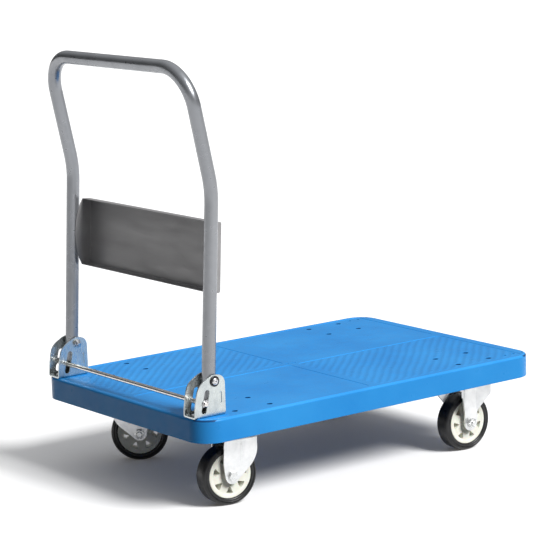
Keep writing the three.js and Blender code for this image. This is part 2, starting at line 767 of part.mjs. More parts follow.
function tyreGeometry() {
  const outer = wheelRadius;
  const inner = wheelRadius - TYRE_THICKNESS + GAP;
  const half = TYRE_WIDTH / 2;
  const seat = half - RIM_INSET;
  return turnedY([
    [inner, -seat],
    [inner + RIM_INSET, -half],
    [outer - TYRE_SHOULDER, -half],
    [outer, -half + TYRE_SHOULDER],
    [outer, half - TYRE_SHOULDER],
    [outer - TYRE_SHOULDER, half],
    [inner + RIM_INSET, half],
    [inner, seat],
    [inner, -seat],
  ], WHEEL_SIDES);
}

// Moulded hub: boss, pierced web and rim.
function hubGeometry(turn) {
  const rim = wheelRadius - TYRE_THICKNESS;
  const rimInner = rim - RIM_THICKNESS;
  const rimHalf = TYRE_WIDTH / 2 - RIM_INSET;
  const web = HUB_WEB / 2;
  const bossHalf = FORK_INNER_WIDTH / 2 - GAP;
  const body = turnedY([
    [axleHole, -bossHalf],
    [HUB_BOSS_RADIUS - 2, -bossHalf],
    [HUB_BOSS_RADIUS, -web],
    [rimInner - 2, -web],
    [rimInner, -rimHalf],
    [rim, -rimHalf],
    [rim, rimHalf],
    [rimInner, rimHalf],
    [rimInner - 2, web],
    [HUB_BOSS_RADIUS, web],
    [HUB_BOSS_RADIUS - 2, bossHalf],
    [axleHole, bossHalf],
    [axleHole, -bossHalf],
  ], WHEEL_SIDES);
  const windowInner = HUB_BOSS_RADIUS + WINDOW_FROM_BOSS;
  const windowOuter = rimInner - WINDOW_FROM_RIM;
  const windowHalf = (windowOuter * Math.PI * WINDOW_SHARE) / HUB_WINDOWS;
  const windows = [];
  for (let index = 0; index < HUB_WINDOWS; index += 1) {
    const window = slabY(
      polygon([[windowInner, 0], [windowOuter, windowHalf], [windowOuter, -windowHalf]]),
      [-web - 1, web + 1],
    );
    windows.push(window.rotateY(turn + (2 * Math.PI * index) / HUB_WINDOWS));
  }
  return carve(body, [], windows);
}

// Bolt through the fork, head towards +Y, thread and nut towards -Y.
function axleBoltGeometry() {
  const face = forkOuter + GAP;
  const end = -(face + AXLE_NUT_HEIGHT + THREAD_END);
  const shank = rodY(AXLE_DIAMETER / 2, [end, face + 1], 14);
  return carve(shank, [rodY(AXLE_HEX_RADIUS, [face, face + AXLE_HEAD_HEIGHT], 6)]);
}

function axleNutGeometry() {
  const face = forkOuter + GAP;
  const bore = boreY(AXLE_DIAMETER / 2 + GAP, [-face - AXLE_NUT_HEIGHT - 1, -face + 1]);
  return carve(rodY(AXLE_HEX_RADIUS, [-face - AXLE_NUT_HEIGHT, -face], 6), [], [bore]);
}

const tyre = tyreGeometry();
const axleBolt = axleBoltGeometry();
const axleNut = axleNutGeometry();

// One wheel with its axle, added to a caster's group at the given trail.
function addWheel(label, parent, trail) {
  const set = new THREE.Group();
  set.position.set(trail, 0, wheelRadius);
  parent.add(set);
  piece(`tyre_${label}`, tyre, materials.tyre, set);
  const hub = hubGeometry(THREE.MathUtils.degToRad(WHEEL_TURNS[label]));
  piece(`wheel_hub_${label}`, hub, materials.hub, set);
  piece(`axle_bolt_${label}`, axleBolt, materials.steel, set);
  piece(`axle_nut_${label}`, axleNut, materials.steel, set);
}

// ----------------------------------------------------------------------- casters

// Mounting plate with its four holes, and a middle hole where one is given.
function plateGeometry(middleHole) {
  const shape = roundedRectangle(
    [-PLATE_LENGTH / 2, PLATE_LENGTH / 2],
    [-PLATE_WIDTH / 2, PLATE_WIDTH / 2],
    PLATE_CORNER,
  );
  for (const [x, y] of mountingPlaces(0, 0)) {
    shape.holes.push(holePath(x, y, MOUNT_DIAMETER / 2 + GAP));
  }
  if (middleHole > 0) {
    shape.holes.push(holePath(0, 0, middleHole));
  }
  return slabZ(shape, [plateUnder, plateTop], 4);
}

// Two ball races in one pressed housing between the plate and the crown.
function raceGeometry() {
  const low = crownTop + GAP;
  const high = plateUnder - GAP;
  const lip = 3;
  return turnedZ([
    [RACE_BORE_RADIUS, low],
    [RACE_RADIUS - lip, low],
    [RACE_RADIUS, low + lip],
    [RACE_RADIUS, high - lip],
    [RACE_RADIUS - lip, high],
    [RACE_BORE_RADIUS, high],
    [RACE_BORE_RADIUS, low],
  ], 18);
}

// Riveted pin that holds the fork, the races and the plate together.
function kingpinGeometry() {
  const shank = KINGPIN_DIAMETER / 2;
  const low = crownUnder - GAP;
  const high = plateTop + GAP;
  return turnedZ([
    [0, low - KINGPIN_HEAD_HEIGHT],
    [KINGPIN_HEAD_RADIUS, low - KINGPIN_HEAD_HEIGHT],
    [KINGPIN_HEAD_RADIUS, low],
    [shank, low],
    [shank, high],
    [KINGPIN_HEAD_RADIUS, high],
    [KINGPIN_HEAD_RADIUS, high + KINGPIN_HEAD_HEIGHT],
    [0, high + KINGPIN_HEAD_HEIGHT],
  ], 14);
}

// Swivel fork, drawn with the wheel trailing towards +X of the swivel axis.
function swivelForkGeometry() {
  const axle = SWIVEL_TRAIL;
  const half = forkOuter;
  const crownShape = roundedRectangle([-CROWN_FRONT, CROWN_BACK], [-half, half], 10);
  crownShape.holes.push(holePath(0, 0, KINGPIN_DIAMETER / 2 + RUNNING_CLEARANCE));
  const crown = slabZ(crownShape, [crownUnder, crownTop]);

  const end = FORK_END_RADIUS;
  const chin = THREE.MathUtils.degToRad(-145);
  const leg = new THREE.Shape();
  leg.moveTo(-LEG_FRONT, crownTop);
  leg.lineTo(-LEG_FRONT, crownTop - 30);
  leg.quadraticCurveTo(-LEG_FRONT + 2, crownTop - 50, 0, wheelRadius + end * 0.9);
  leg.lineTo(axle + end * Math.cos(chin), wheelRadius + end * Math.sin(chin));
  leg.absarc(axle, wheelRadius, end, chin, 0, false);
  leg.quadraticCurveTo(axle + LEG_BULGE + 4, wheelRadius + 34, CROWN_BACK, crownTop);
  leg.closePath();
  leg.holes.push(holePath(axle, wheelRadius, axleHole));
  const inner = half - FORK_SHEET;
  const creaseZ = [wheelRadius + end, crownTop - 2];
  const creaseX = [CREASE_PLACE - 2, CREASE_PLACE + 2];
  const joined = [
    slabY(leg, [inner, half], 6),
    slabY(leg, [-half, -inner], 6),
    block(creaseX, [half - 1, half + CREASE_DEPTH], creaseZ),
    block(creaseX, [-half - CREASE_DEPTH, -half + 1], creaseZ),
  ];
  return carve(crown, joined);
}

// Fixed fork: plate, two straight legs and the flared flanges beside them.
function fixedForkGeometry() {
  const width = FIXED_LEG_WIDTH / 2;
  const half = forkOuter;
  const inner = half - FORK_SHEET;
  const top = plateUnder + 1;
  const leg = new THREE.Shape();
  leg.moveTo(-width, top);
  leg.lineTo(-width, wheelRadius);
  leg.absarc(0, wheelRadius, width, Math.PI, 2 * Math.PI, false);
  leg.lineTo(width, top);
  leg.closePath();
  leg.holes.push(holePath(0, wheelRadius, axleHole));
  const joined = [slabY(leg, [inner, half], 6), slabY(leg, [-half, -inner], 6)];

  // The outer part of each flange stops under the screw heads.
  const screwClear = plateUnder - GAP - MOUNT_HEAD_HEIGHT - 2;
  const flange = polygon([
    [-1, wheelRadius + GUSSET_START],
    [2, wheelRadius + GUSSET_START],
    [GUSSET_REACH, plateUnder - GUSSET_DROP],
    [GUSSET_REACH, screwClear],
    [14, screwClear],
    [12, top],
    [-1, top],
  ]);
  for (const turn of [GUSSET_ANGLE, Math.PI - GUSSET_ANGLE, Math.PI + GUSSET_ANGLE, -GUSSET_ANGLE]) {
    const sheet = slabY(flange, [-FORK_SHEET / 2, FORK_SHEET / 2]).rotateZ(turn);
    const x = Math.sign(Math.cos(turn)) * (width - 1);
    const y = Math.sign(Math.sin(turn)) * (half - FORK_SHEET / 2);
    joined.push(sheet.translate(x, y, 0));
  }
  return carve(plateGeometry(0), joined);
}

// Hexagon screw from below, through the plate into the deck's boss.
function mountScrewGeometry() {
  const face = plateUnder - GAP;
  const shank = rodZ(MOUNT_DIAMETER / 2, [face - 1, plateTop + MOUNT_GRIP], 12);
  return carve(shank, [rodZ(MOUNT_HEX_RADIUS, [face - MOUNT_HEAD_HEIGHT, face], 6)]);
}

const swivelPlate = plateGeometry(KINGPIN_DIAMETER / 2 + GAP);
const race = raceGeometry();
const kingpin = kingpinGeometry();
const swivelFork = swivelForkGeometry();
const fixedFork = fixedForkGeometry();
const mountScrew = mountScrewGeometry();

for (const { end, side, x, y } of casterPlaces()) {
  const swivels = end < 0;
  const label = `${swivels ? 'swivel' : 'fixed'}_${side}`;
  const caster = new THREE.Group();
  caster.position.set(x, y, 0);
  cart.add(caster);
  if (swivels) {
    piece(`caster_plate_${label}`, swivelPlate, materials.zinc, caster);
    piece(`ball_race_${label}`, race, materials.zinc, caster);
    piece(`kingpin_${label}`, kingpin, materials.steel, caster);
    const turning = new THREE.Group();
    turning.rotation.z = THREE.MathUtils.degToRad(SWIVEL_HEADINGS[side]);
    caster.add(turning);
    piece(`fork_${label}`, swivelFork, materials.fork, turning);
    addWheel(label, turning, SWIVEL_TRAIL);
  } else {
    piece(`fork_${label}`, fixedFork, materials.fork, caster);
    addWheel(label, caster, 0);
  }
  mountingPlaces(0, 0).forEach(([screwX, screwY], index) => {
    const screw = piece(`mount_screw_${label}_${index + 1}`, mountScrew, materials.steel, caster);
    screw.position.set(screwX, screwY, 0);
  });
}

export default cart;
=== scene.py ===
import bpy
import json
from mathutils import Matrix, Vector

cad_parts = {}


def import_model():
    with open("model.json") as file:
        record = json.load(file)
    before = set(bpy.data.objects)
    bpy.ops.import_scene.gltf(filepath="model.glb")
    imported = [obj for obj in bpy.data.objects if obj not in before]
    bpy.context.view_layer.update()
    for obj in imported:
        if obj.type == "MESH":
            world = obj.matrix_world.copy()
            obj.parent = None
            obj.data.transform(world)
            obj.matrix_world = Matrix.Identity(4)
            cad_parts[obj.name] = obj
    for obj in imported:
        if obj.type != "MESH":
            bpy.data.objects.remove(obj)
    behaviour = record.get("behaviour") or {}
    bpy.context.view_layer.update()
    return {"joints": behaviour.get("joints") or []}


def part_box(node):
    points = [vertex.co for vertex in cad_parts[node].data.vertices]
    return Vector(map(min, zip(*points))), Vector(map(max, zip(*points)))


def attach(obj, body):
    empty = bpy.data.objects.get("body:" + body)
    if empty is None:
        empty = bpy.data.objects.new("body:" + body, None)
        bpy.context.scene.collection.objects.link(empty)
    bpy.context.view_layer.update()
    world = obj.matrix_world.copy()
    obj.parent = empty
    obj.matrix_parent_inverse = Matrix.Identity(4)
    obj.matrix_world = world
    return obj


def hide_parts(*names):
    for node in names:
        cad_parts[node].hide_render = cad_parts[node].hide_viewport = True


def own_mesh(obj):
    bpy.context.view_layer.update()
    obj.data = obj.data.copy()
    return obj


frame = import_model()

import json
import math

import bmesh
import bpy
from mathutils import Matrix, Vector

# Lengths in the shape code are millimetres; MM turns them into scene units.
MM = 0.001
SIDES = {"near": -1, "far": 1}
CASTERS = ["swivel_near", "swivel_far", "fixed_near", "fixed_far"]
# Degrees that each hub has rolled at rest.
WHEEL_TURNS = {"swivel_near": -16, "swivel_far": 8, "fixed_near": 19, "fixed_far": 0}

JOINTS = {joint["name"]: joint for joint in frame["joints"]}


def box(node):
    low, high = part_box(node)
    return [c / MM for c in low], [c / MM for c in high]


def middle(node):
    low, high = box(node)
    return [(a + b) / 2 for a, b in zip(low, high)]


def joint_place(name):
    return [c / MM for c in JOINTS[name]["pos_m"]]


# --- sizes

DECK_LOW, DECK_HIGH = box("deck")
DECK_TOP = DECK_HIGH[2]
DECK_CORNER = 50.0
DECK_EDGE = 6.0
DECK_WALL = 4.0
DECK_SKIN = 5.0
RIB = 3.0
RIB_LIFT = 10.0
BOSS_RADIUS = 9.0
BRACKET_BOSS = 32.0
BRACKET_SCREW_HOLE = 3.3
TREAD_DEPTH = 0.8
TREAD_BORDER = (28.0, 14.0)
TREAD_BAND = 20.0
TREAD_CORNER = 12.0
TREAD_PITCH = 16.5
TREAD_STEP = 2.2

PIVOT = joint_place("handle_fold")
PIVOT_HOLE = 5.35
SLOT_WIDTH = 12.0
LEG_Y = middle("hinge_bracket_far")[1]
TUBE_RADIUS = 14.0
TUBE_WALL = 1.5
LEAN = math.radians(3.6)
LEG_BELOW_PIVOT = 40.5
KNEE_ABOVE_PIVOT = 381.0
KNEE_BEND = 220.0
TOP_BEND = 80.0
PANEL_FOOT = 170.5

WHEEL_RADIUS = joint_place("roll_fixed_near")[2]
HUB_HALF = box("wheel_hub_fixed_near")[1][1] - middle("wheel_hub_fixed_near")[1]
HUB_WINDOWS = 7
FORK_OUTER = 26.5
FORK_SHEET = 3.0
CROWN_SHEET = 4.0
CROWN_FRONT = 30.0
CROWN_BACK = 54.0
LEG_FRONT = 19.0
LEG_END = 16.0
CREASE_PLACE = 17.0
CREASE_HALF = 5.0
AXLE_HOLE = 6.35


# --- shapes in plain lists
# A solid is (points, faces). Its winding is put right when it becomes a mesh.

def arc(centre, radius, start, end, steps):
    """Points round a centre, angles in degrees."""
    points = []
    for index in range(steps + 1):
        angle = math.radians(start + (end - start) * index / steps)
        points.append((centre[0] + radius * math.cos(angle), centre[1] + radius * math.sin(angle)))
    return points


def curve(start, control, end, steps=10):
    """A quadratic curve, its first point left out."""
    points = []
    for index in range(1, steps + 1):
        t = index / steps
        weights = ((1 - t) ** 2, 2 * t * (1 - t), t * t)
        points.append(tuple(
            sum(w * p[axis] for w, p in zip(weights, (start, control, end))) for axis in (0, 1)
        ))
    return points


def rounded(corners, steps=6):
    """A polygon of (a, b, radius) corners with each corner rounded."""
    points = []
    count = len(corners)
    for index, (a, b, radius) in enumerate(corners):
        here = Vector((a, b))
        before = Vector(corners[index - 1][:2]) - here
        after = Vector(corners[(index + 1) % count][:2]) - here
        if radius <= 0:
            points.append((a, b))
            continue
        before.normalize()
        after.normalize()
        half = before.angle(after) / 2
        centre = here + (before + after).normalized() * radius / math.sin(half)
        first = here + before * radius / math.tan(half) - centre
        last = here + after * radius / math.tan(half) - centre
        turn = math.atan2(first.x * last.y - first.y * last.x, first.dot(last))
        for step in range(steps + 1):
            c, s = math.cos(turn * step / steps), math.sin(turn * step / steps)
            points.append((centre.x + first.x * c - first.y * s, centre.y + first.x * s + first.y * c))
    return points


def rectangle(x0, x1, y0, y1, radius=0.0, steps=10):
    return rounded([(x0, y0, radius), (x1, y0, radius), (x1, y1, radius), (x0, y1, radius)], steps)


def prism(outline, span, axis="z"):
    """An outline pushed along an axis: it is (x, y) for z, (x, z) for y and (y, z) for x."""
    place = {
        "z": lambda a, b, along: (a, b, along),
        "y": lambda a, b, along: (a, along, b),
        "x": lambda a, b, along: (along, a, b),
    }[axis]
    points = [place(a, b, along) for along in span for a, b in outline]
    count = len(outline)
    faces = [(i, (i + 1) % count, count + (i + 1) % count, count + i) for i in range(count)]
    faces += [tuple(range(count)), tuple(range(count, 2 * count))]
    return points, faces


def loft(rings, caps=True, closed=False):
    """Skin over rings with the same number of points."""
    count = len(rings[0])
    points = [tuple(p) for ring in rings for p in ring]
    faces = []
    spans = len(rings) if closed else len(rings) - 1
    for r in range(spans):
        a, b = r * count, ((r + 1) % len(rings)) * count
        faces += [(a + i, a + (i + 1) % count, b + (i + 1) % count, b + i) for i in range(count)]
    if caps and not closed:
        last = (len(rings) - 1) * count
        faces += [tuple(range(count)), tuple(range(last, last + count))]
    return points, faces


def revolve(profile, axis="z", sides=48, centre=(0, 0, 0)):
    """(radius, height) points turned round an axis. A profile that doesn't start and end
    on the axis is closed into a ring."""
    rings = []
    for radius, height in profile:
        ring = []
        for index in range(sides):
            angle = 2 * math.pi * (index + 0.5) / sides
            u, v = radius * math.cos(angle), radius * math.sin(angle)
            point = (u, v, height) if axis == "z" else (u, height, v)
            ring.append(tuple(p + c for p, c in zip(point, centre)))
        rings.append(ring)
    on_axis = profile[0][0] < 1e-6 and profile[-1][0] < 1e-6
    return loft(rings, caps=False, closed=not on_axis)


def rod(radius, span, axis="z", sides=24, centre=(0, 0, 0)):
    low, high = span
    return revolve([(0, low), (radius, low), (radius, high), (0, high)], axis, sides, centre)


def frames_along(path):
    """A pair of unit directions across the path at each of its points."""
    tangents = []
    for index in range(len(path)):
        before = path[max(index - 1, 0)]
        after = path[min(index + 1, len(path) - 1)]
        tangents.append((after - before).normalized())
    across = tangents[0].orthogonal().normalized()
    if abs(tangents[0].y) < 0.9:
        across = Vector((0, 1, 0)) - tangents[0] * tangents[0].y
        across.normalize()
    pairs = []
    for tangent in tangents:
        across = (across - tangent * across.dot(tangent)).normalized()
        pairs.append((across, tangent.cross(across)))
    return pairs


def sweep(path, radius, sides=32, bore=0.0):
    """A round rod, or a tube with a bore, along a path."""
    pairs = frames_along(path)

    def ring(index, size):
        u, v = pairs[index]
        angles = [2 * math.pi * k / sides for k in range(sides)]
        return [path[index] + size * (math.cos(a) * u + math.sin(a) * v) for a in angles]

    outside = [ring(index, radius) for index in range(len(path))]
    if bore <= 0:
        return loft(outside)
    inside = [ring(index, bore) for index in reversed(range(len(path)))]
    return loft(outside + inside, closed=True)


def at(x, y, z=0.0):
    return Matrix.Translation((x, y, z))


def moved(solid, matrix):
    return [tuple(matrix @ Vector(p)) for p in solid[0]], solid[1]


def together(*solids):
    """Solids that don't touch each other, as one."""
    points, faces = [], []
    for more_points, more_faces in solids:
        start = len(points)
        points += more_points
        faces += [tuple(start + i for i in face) for face in more_faces]
    return points, faces


def add(name, data):
    thing = bpy.data.objects.new(name, data)
    bpy.context.scene.collection.objects.link(thing)
    return thing


def mesh_from(solid, name, scale=1.0):
    mesh = bpy.data.meshes.new(name)
    mesh.from_pydata([tuple(c * scale for c in p) for p in solid[0]], [], solid[1])
    work = bmesh.new()
    work.from_mesh(mesh)
    bmesh.ops.remove_doubles(work, verts=work.verts, dist=1e-4 * scale)
    bmesh.ops.dissolve_degenerate(work, edges=work.edges, dist=1e-5 * scale)
    bmesh.ops.recalc_face_normals(work, faces=work.faces)
    work.to_mesh(mesh)
    work.free()
    return mesh


def boolean(solid, operation, *tools):
    """The solid joined with, cut by or kept inside each tool in turn."""
    made = []
    for index, part in enumerate((solid, *tools)):
        thing = add("boolean", mesh_from(part, "boolean"))
        made.append(thing)
        if index > 0:
            modifier = made[0].modifiers.new("boolean", "BOOLEAN")
            modifier.solver = "MANIFOLD"
            modifier.operation = operation
            modifier.object = thing
    bpy.context.view_layer.update()
    graph = bpy.context.evaluated_depsgraph_get()
    mesh = bpy.data.meshes.new_from_object(made[0].evaluated_get(graph))
    result = ([tuple(v.co) for v in mesh.vertices], [tuple(f.vertices) for f in mesh.polygons])
    bpy.data.meshes.remove(mesh)
    for thing in made:
        data = thing.data
        bpy.data.objects.remove(thing)
        bpy.data.meshes.remove(data)
    if not result[1]:
        raise RuntimeError("a boolean left nothing")
    return result


def join(solid, *tools):
    return boolean(solid, "UNION", *tools)


def cut(solid, *tools):
    return boolean(solid, "DIFFERENCE", *tools)


def keep(solid, *tools):
    return boolean(solid, "INTERSECT", *tools)


# --- materials

def colour(*rgb):
    return (*rgb, 1.0)


class Paint:
    """A material whose colour, roughness and relief vary through object coordinates."""

    def __init__(self, name, **constants):
        self.material = bpy.data.materials.new(name)
        self.material.use_nodes = True
        self.tree = self.material.node_tree
        self.shader = self.tree.nodes["Principled BSDF"]
        self.place = self.node("ShaderNodeTexCoord").outputs["Object"]
        self.bump = None
        for socket, value in constants.items():
            self.shader.inputs[socket.replace("_", " ")].default_value = value

    def node(self, kind, **settings):
        made = self.tree.nodes.new(kind)
        for key, value in settings.items():
            setattr(made, key, value)
        return made

    def link(self, source, target):
        self.tree.links.new(source, target)

    def noise(self, size, stretch=(1, 1, 1), detail=3.0, rough=0.5):
        """Noise with features about size millimetres across, longer along stretched axes."""
        mapping = self.node("ShaderNodeMapping")
        self.link(self.place, mapping.inputs["Vector"])
        mapping.inputs["Scale"].default_value = [1 / (size * MM * s) for s in stretch]
        noise = self.node("ShaderNodeTexNoise")
        self.link(mapping.outputs["Vector"], noise.inputs["Vector"])
        noise.inputs["Scale"].default_value = 1.0
        noise.inputs["Detail"].default_value = detail
        noise.inputs["Roughness"].default_value = rough
        return noise.outputs["Fac"]

    def spread(self, source, low, high, start=0.3, end=0.7):
        """A value from low to high as the source goes from start to end."""
        spread = self.node("ShaderNodeMapRange")
        self.link(source, spread.inputs["Value"])
        for socket, value in zip(("From Min", "From Max", "To Min", "To Max"), (start, end, low, high)):
            spread.inputs[socket].default_value = value
        return spread.outputs["Result"]

    def blend(self, factor, first, second):
        mix = self.node("ShaderNodeMix", data_type="RGBA")
        self.link(factor, mix.inputs[0])
        for socket, value in ((mix.inputs[6], first), (mix.inputs[7], second)):
            if isinstance(value, tuple):
                socket.default_value = value
            else:
                self.link(value, socket)
        return mix.outputs[2]

    def mottle(self, size, dark, light, stretch=(1, 1, 1), detail=4.0, rough=0.5):
        """Clouds of two colours, about size millimetres across."""
        cloud = self.noise(size, stretch, detail, rough)
        return self.blend(self.spread(cloud, 0, 1), dark, light)

    def colours(self, value):
        self.link(value, self.shader.inputs["Base Color"])

    def roughness(self, value):
        self.link(value, self.shader.inputs["Roughness"])

    def relief(self, height, depth, strength=1.0):
        """Bump of a given depth in millimetres, laid over any bump before it."""
        bump = self.node("ShaderNodeBump")
        bump.inputs["Strength"].default_value = strength
        bump.inputs["Distance"].default_value = depth * MM
        self.link(height, bump.inputs["Height"])
        if self.bump is not None:
            self.link(self.bump, bump.inputs["Normal"])
        self.bump = bump.outputs["Normal"]
        self.link(self.bump, self.shader.inputs["Normal"])


def deck_paint():
    paint = Paint("deck_plastic", Specular_IOR_Level=0.25, Specular_Tint=colour(0.55, 0.75, 1.0))
    base = paint.mottle(160, colour(0.020, 0.235, 0.62), colour(0.031, 0.285, 0.69))
    scuffs = paint.noise(2.2, stretch=(1, 14, 1), detail=5, rough=0.65)
    marks = paint.spread(scuffs, 0, 0.22, 0.66, 0.82)
    marked = paint.blend(marks, base, colour(0.16, 0.40, 0.86))

    def split(place):
        parts = paint.node("ShaderNodeSeparateXYZ")
        paint.link(place, parts.inputs[0])
        return parts.outputs

    # painted shade: deep blue below the rims of the holes, inside the outline and above the hollow underside,
    # so the hole walls read as shaded
    mirrored_place = paint.node("ShaderNodeVectorMath", operation="ABSOLUTE")
    paint.link(paint.place, mirrored_place.inputs[0])
    across = split(mirrored_place.outputs["Vector"])
    height = split(paint.place)["Z"]
    shade = paint.spread(height, 0.9, 0, (DECK_TOP - 1.5) * MM, (DECK_TOP - 1.1) * MM)
    limits = [paint.spread(height, 0, 1, (DECK_TOP - 4.9) * MM, (DECK_TOP - 4.7) * MM)]
    for axis, half in (("X", DECK_HIGH[0]), ("Y", DECK_HIGH[1])):
        limits.append(paint.spread(across[axis], 1, 0, (half - 3.6) * MM, (half - 3.2) * MM))
    for limit in limits:
        product = paint.node("ShaderNodeMath", operation="MULTIPLY")
        paint.link(shade, product.inputs[0])
        paint.link(limit, product.inputs[1])
        shade = product.outputs[0]
    # the painted shade colour of the hole recesses is laid over the plastic here
    paint.colours(paint.blend(shade, marked, colour(0.008, 0.035, 0.12)))
    paint.roughness(paint.spread(paint.noise(24, detail=5), 0.27, 0.42))
    paint.relief(paint.noise(0.9, detail=2), 0.02, 0.5)
    paint.relief(paint.noise(45, detail=2), 0.35, 0.35)
    return paint.material


def tube_paint():
    paint = Paint("tube_coat", Metallic=0.7, Coat_Weight=0.2, Coat_Roughness=0.15)
    paint.colours(paint.mottle(90, colour(0.26, 0.27, 0.29), colour(0.33, 0.34, 0.36), (1, 1, 4)))
    paint.roughness(paint.spread(paint.noise(12, detail=4), 0.26, 0.38))
    paint.relief(paint.noise(0.7, detail=2), 0.012, 0.6)
    return paint.material


def panel_paint():
    paint = Paint("panel_coat", Metallic=0.25)
    paint.colours(paint.mottle(70, colour(0.27, 0.265, 0.27), colour(0.35, 0.345, 0.35), (1, 6, 1)))
    paint.roughness(paint.spread(paint.noise(18, stretch=(1, 5, 1), detail=4), 0.32, 0.48))
    paint.relief(paint.noise(60, stretch=(1, 3, 1), detail=2), 0.5, 0.4)
    paint.relief(paint.noise(0.6, detail=2), 0.01, 0.5)
    return paint.material


def zinc_paint(name, dark, light, low, high, grain=5.0):
    """Zinc plate: faint brushed grain, pale bloom and a few darker stains."""
    paint = Paint(name, Metallic=0.9)
    base = paint.mottle(26, dark, light, detail=5, rough=0.6)
    stains = paint.spread(paint.noise(9, detail=6, rough=0.7), 0, 0.35, 0.64, 0.8)
    paint.colours(paint.blend(stains, base, colour(*(c * 0.72 for c in dark[:3]))))
    brushed = paint.noise(0.7, stretch=(grain, grain, 30), detail=3)
    paint.roughness(paint.spread(brushed, low, high))
    paint.relief(brushed, 0.01, 0.5)
    paint.relief(paint.noise(16, detail=2), 0.12, 0.35)
    return paint.material


def steel_paint(name, dark, light, low=0.2, high=0.4):
    paint = Paint(name, Metallic=1.0)
    paint.colours(paint.mottle(7, dark, light, detail=5))
    turned = paint.noise(0.5, stretch=(8, 1, 8), detail=3)
    paint.roughness(paint.spread(turned, low, high))
    paint.relief(turned, 0.008, 0.5)
    return paint.material


def hub_paint():
    paint = Paint("hub_nylon", Specular_IOR_Level=0.5, Subsurface_Weight=0.08, Subsurface_Scale=0.004)
    base = paint.mottle(20, colour(0.80, 0.80, 0.70), colour(0.88, 0.88, 0.81))
    specks = paint.spread(paint.noise(1.6, detail=4, rough=0.7), 0, 0.3, 0.68, 0.8)
    paint.colours(paint.blend(specks, base, colour(0.52, 0.51, 0.46)))
    paint.roughness(paint.spread(paint.noise(6, detail=4), 0.32, 0.5))
    paint.relief(paint.noise(0.8, detail=2), 0.015, 0.5)
    return paint.material


def rubber_paint():
    paint = Paint("tyre_rubber", Specular_IOR_Level=0.45)
    base = paint.mottle(14, colour(0.006, 0.006, 0.007), colour(0.016, 0.016, 0.017), detail=5)
    dust = paint.spread(paint.noise(3, detail=6, rough=0.7), 0, 0.25, 0.6, 0.8)
    paint.colours(paint.blend(dust, base, colour(0.06, 0.058, 0.054)))
    paint.roughness(paint.spread(paint.noise(8, detail=5), 0.26, 0.45))
    paint.relief(paint.noise(0.7, detail=3), 0.02, 0.6)
    return paint.material


DECK_PAINT = deck_paint()
TUBE_PAINT = tube_paint()
PANEL_PAINT = panel_paint()
ZINC = zinc_paint("zinc_plate", colour(0.46, 0.50, 0.51), colour(0.64, 0.68, 0.67), 0.2, 0.38)
FORK_ZINC = zinc_paint("fork_zinc", colour(0.70, 0.71, 0.715), colour(0.88, 0.885, 0.885), 0.28, 0.45)
AXLE_ZINC = steel_paint("axle_zinc", colour(0.60, 0.61, 0.61), colour(0.82, 0.83, 0.82))
STEEL = steel_paint("bolt_steel", colour(0.42, 0.42, 0.43), colour(0.66, 0.66, 0.67))
BAR_STEEL = steel_paint("bar_steel", colour(0.55, 0.52, 0.50), colour(0.80, 0.79, 0.77), 0.12, 0.28)
SPRING_STEEL = steel_paint("spring_wire", colour(0.22, 0.22, 0.23), colour(0.38, 0.38, 0.38))
# near-black steel for the outer flange ring of the pivot bolts: painted shade of the gap round the bolt head
PIVOT_RING_SHADE = steel_paint("pivot_ring_shade", colour(0.03, 0.03, 0.032), colour(0.07, 0.07, 0.075), 0.3, 0.5)
HUB_PAINT = hub_paint()
RUBBER = rubber_paint()


# --- pieces

def piece(name, solid, body, paint, replaces=(), bevel=0.0, place=None, smooth=40.0):
    if place is not None:
        solid = moved(solid, place)
    mesh = mesh_from(solid, name, MM)
    mesh.materials.append(paint)
    mesh.shade_smooth()
    thing = add(name, mesh)
    if bevel > 0:
        modifier = thing.modifiers.new("edges", "BEVEL")
        modifier.width = bevel * MM
        modifier.segments = 2
        modifier.limit_method = "ANGLE"
        modifier.angle_limit = math.radians(smooth)
        modifier.miter_outer = "MITER_ARC"
    else:
        mesh.set_sharp_from_angle(angle=math.radians(smooth))
    normals = thing.modifiers.new("normals", "WEIGHTED_NORMAL")
    normals.keep_sharp = True
    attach(thing, body)
    if replaces:
        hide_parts(*replaces)
    return thing


# --- deck

def tread_fields():
    """The four fields as (x0, x1, y0, y1)."""
    half = TREAD_BAND / 2
    spans_x = [(DECK_LOW[0] + TREAD_BORDER[0], -half), (half, DECK_HIGH[0] - TREAD_BORDER[0])]
    spans_y = [(DECK_LOW[1] + TREAD_BORDER[1], -half), (half, DECK_HIGH[1] - TREAD_BORDER[1])]
    return [(*x, *y) for x in spans_x for y in spans_y]


def mount_places():
    return [
        middle(f"mount_screw_{caster}_{index}")[:2] for caster in CASTERS for index in range(1, 5)
    ]


def bracket_places():
    return [middle(f"bracket_screw_{side}_{end}")[:2] for side in SIDES for end in ("front", "rear")]


def tread_height(x, y, field, holes):
    """Soft slanted ribs that fade towards the field's border and round each hole."""
    across = (y - x) / math.sqrt(2)
    along = (x + y) / math.sqrt(2)
    wander = 1.1 * math.sin(along / 41) + 0.6 * math.sin(along / 17 + 1.3)
    wave = 0.5 + 0.5 * math.cos(2 * math.pi * (across + wander) / TREAD_PITCH)
    x0, x1, y0, y1 = field
    border = min(x - x0, x1 - x, y - y0, y1 - y)
    fade = max(0.0, min(1.0, (border - 1.5) / 5))
    for hole_x, hole_y in holes:
        away = math.hypot(x - hole_x, y - hole_y)
        fade = min(fade, max(0.0, min(1.0, (away - 8) / 4)))
    return 0.72 * wave ** 1.3 * fade * fade * (3 - 2 * fade)


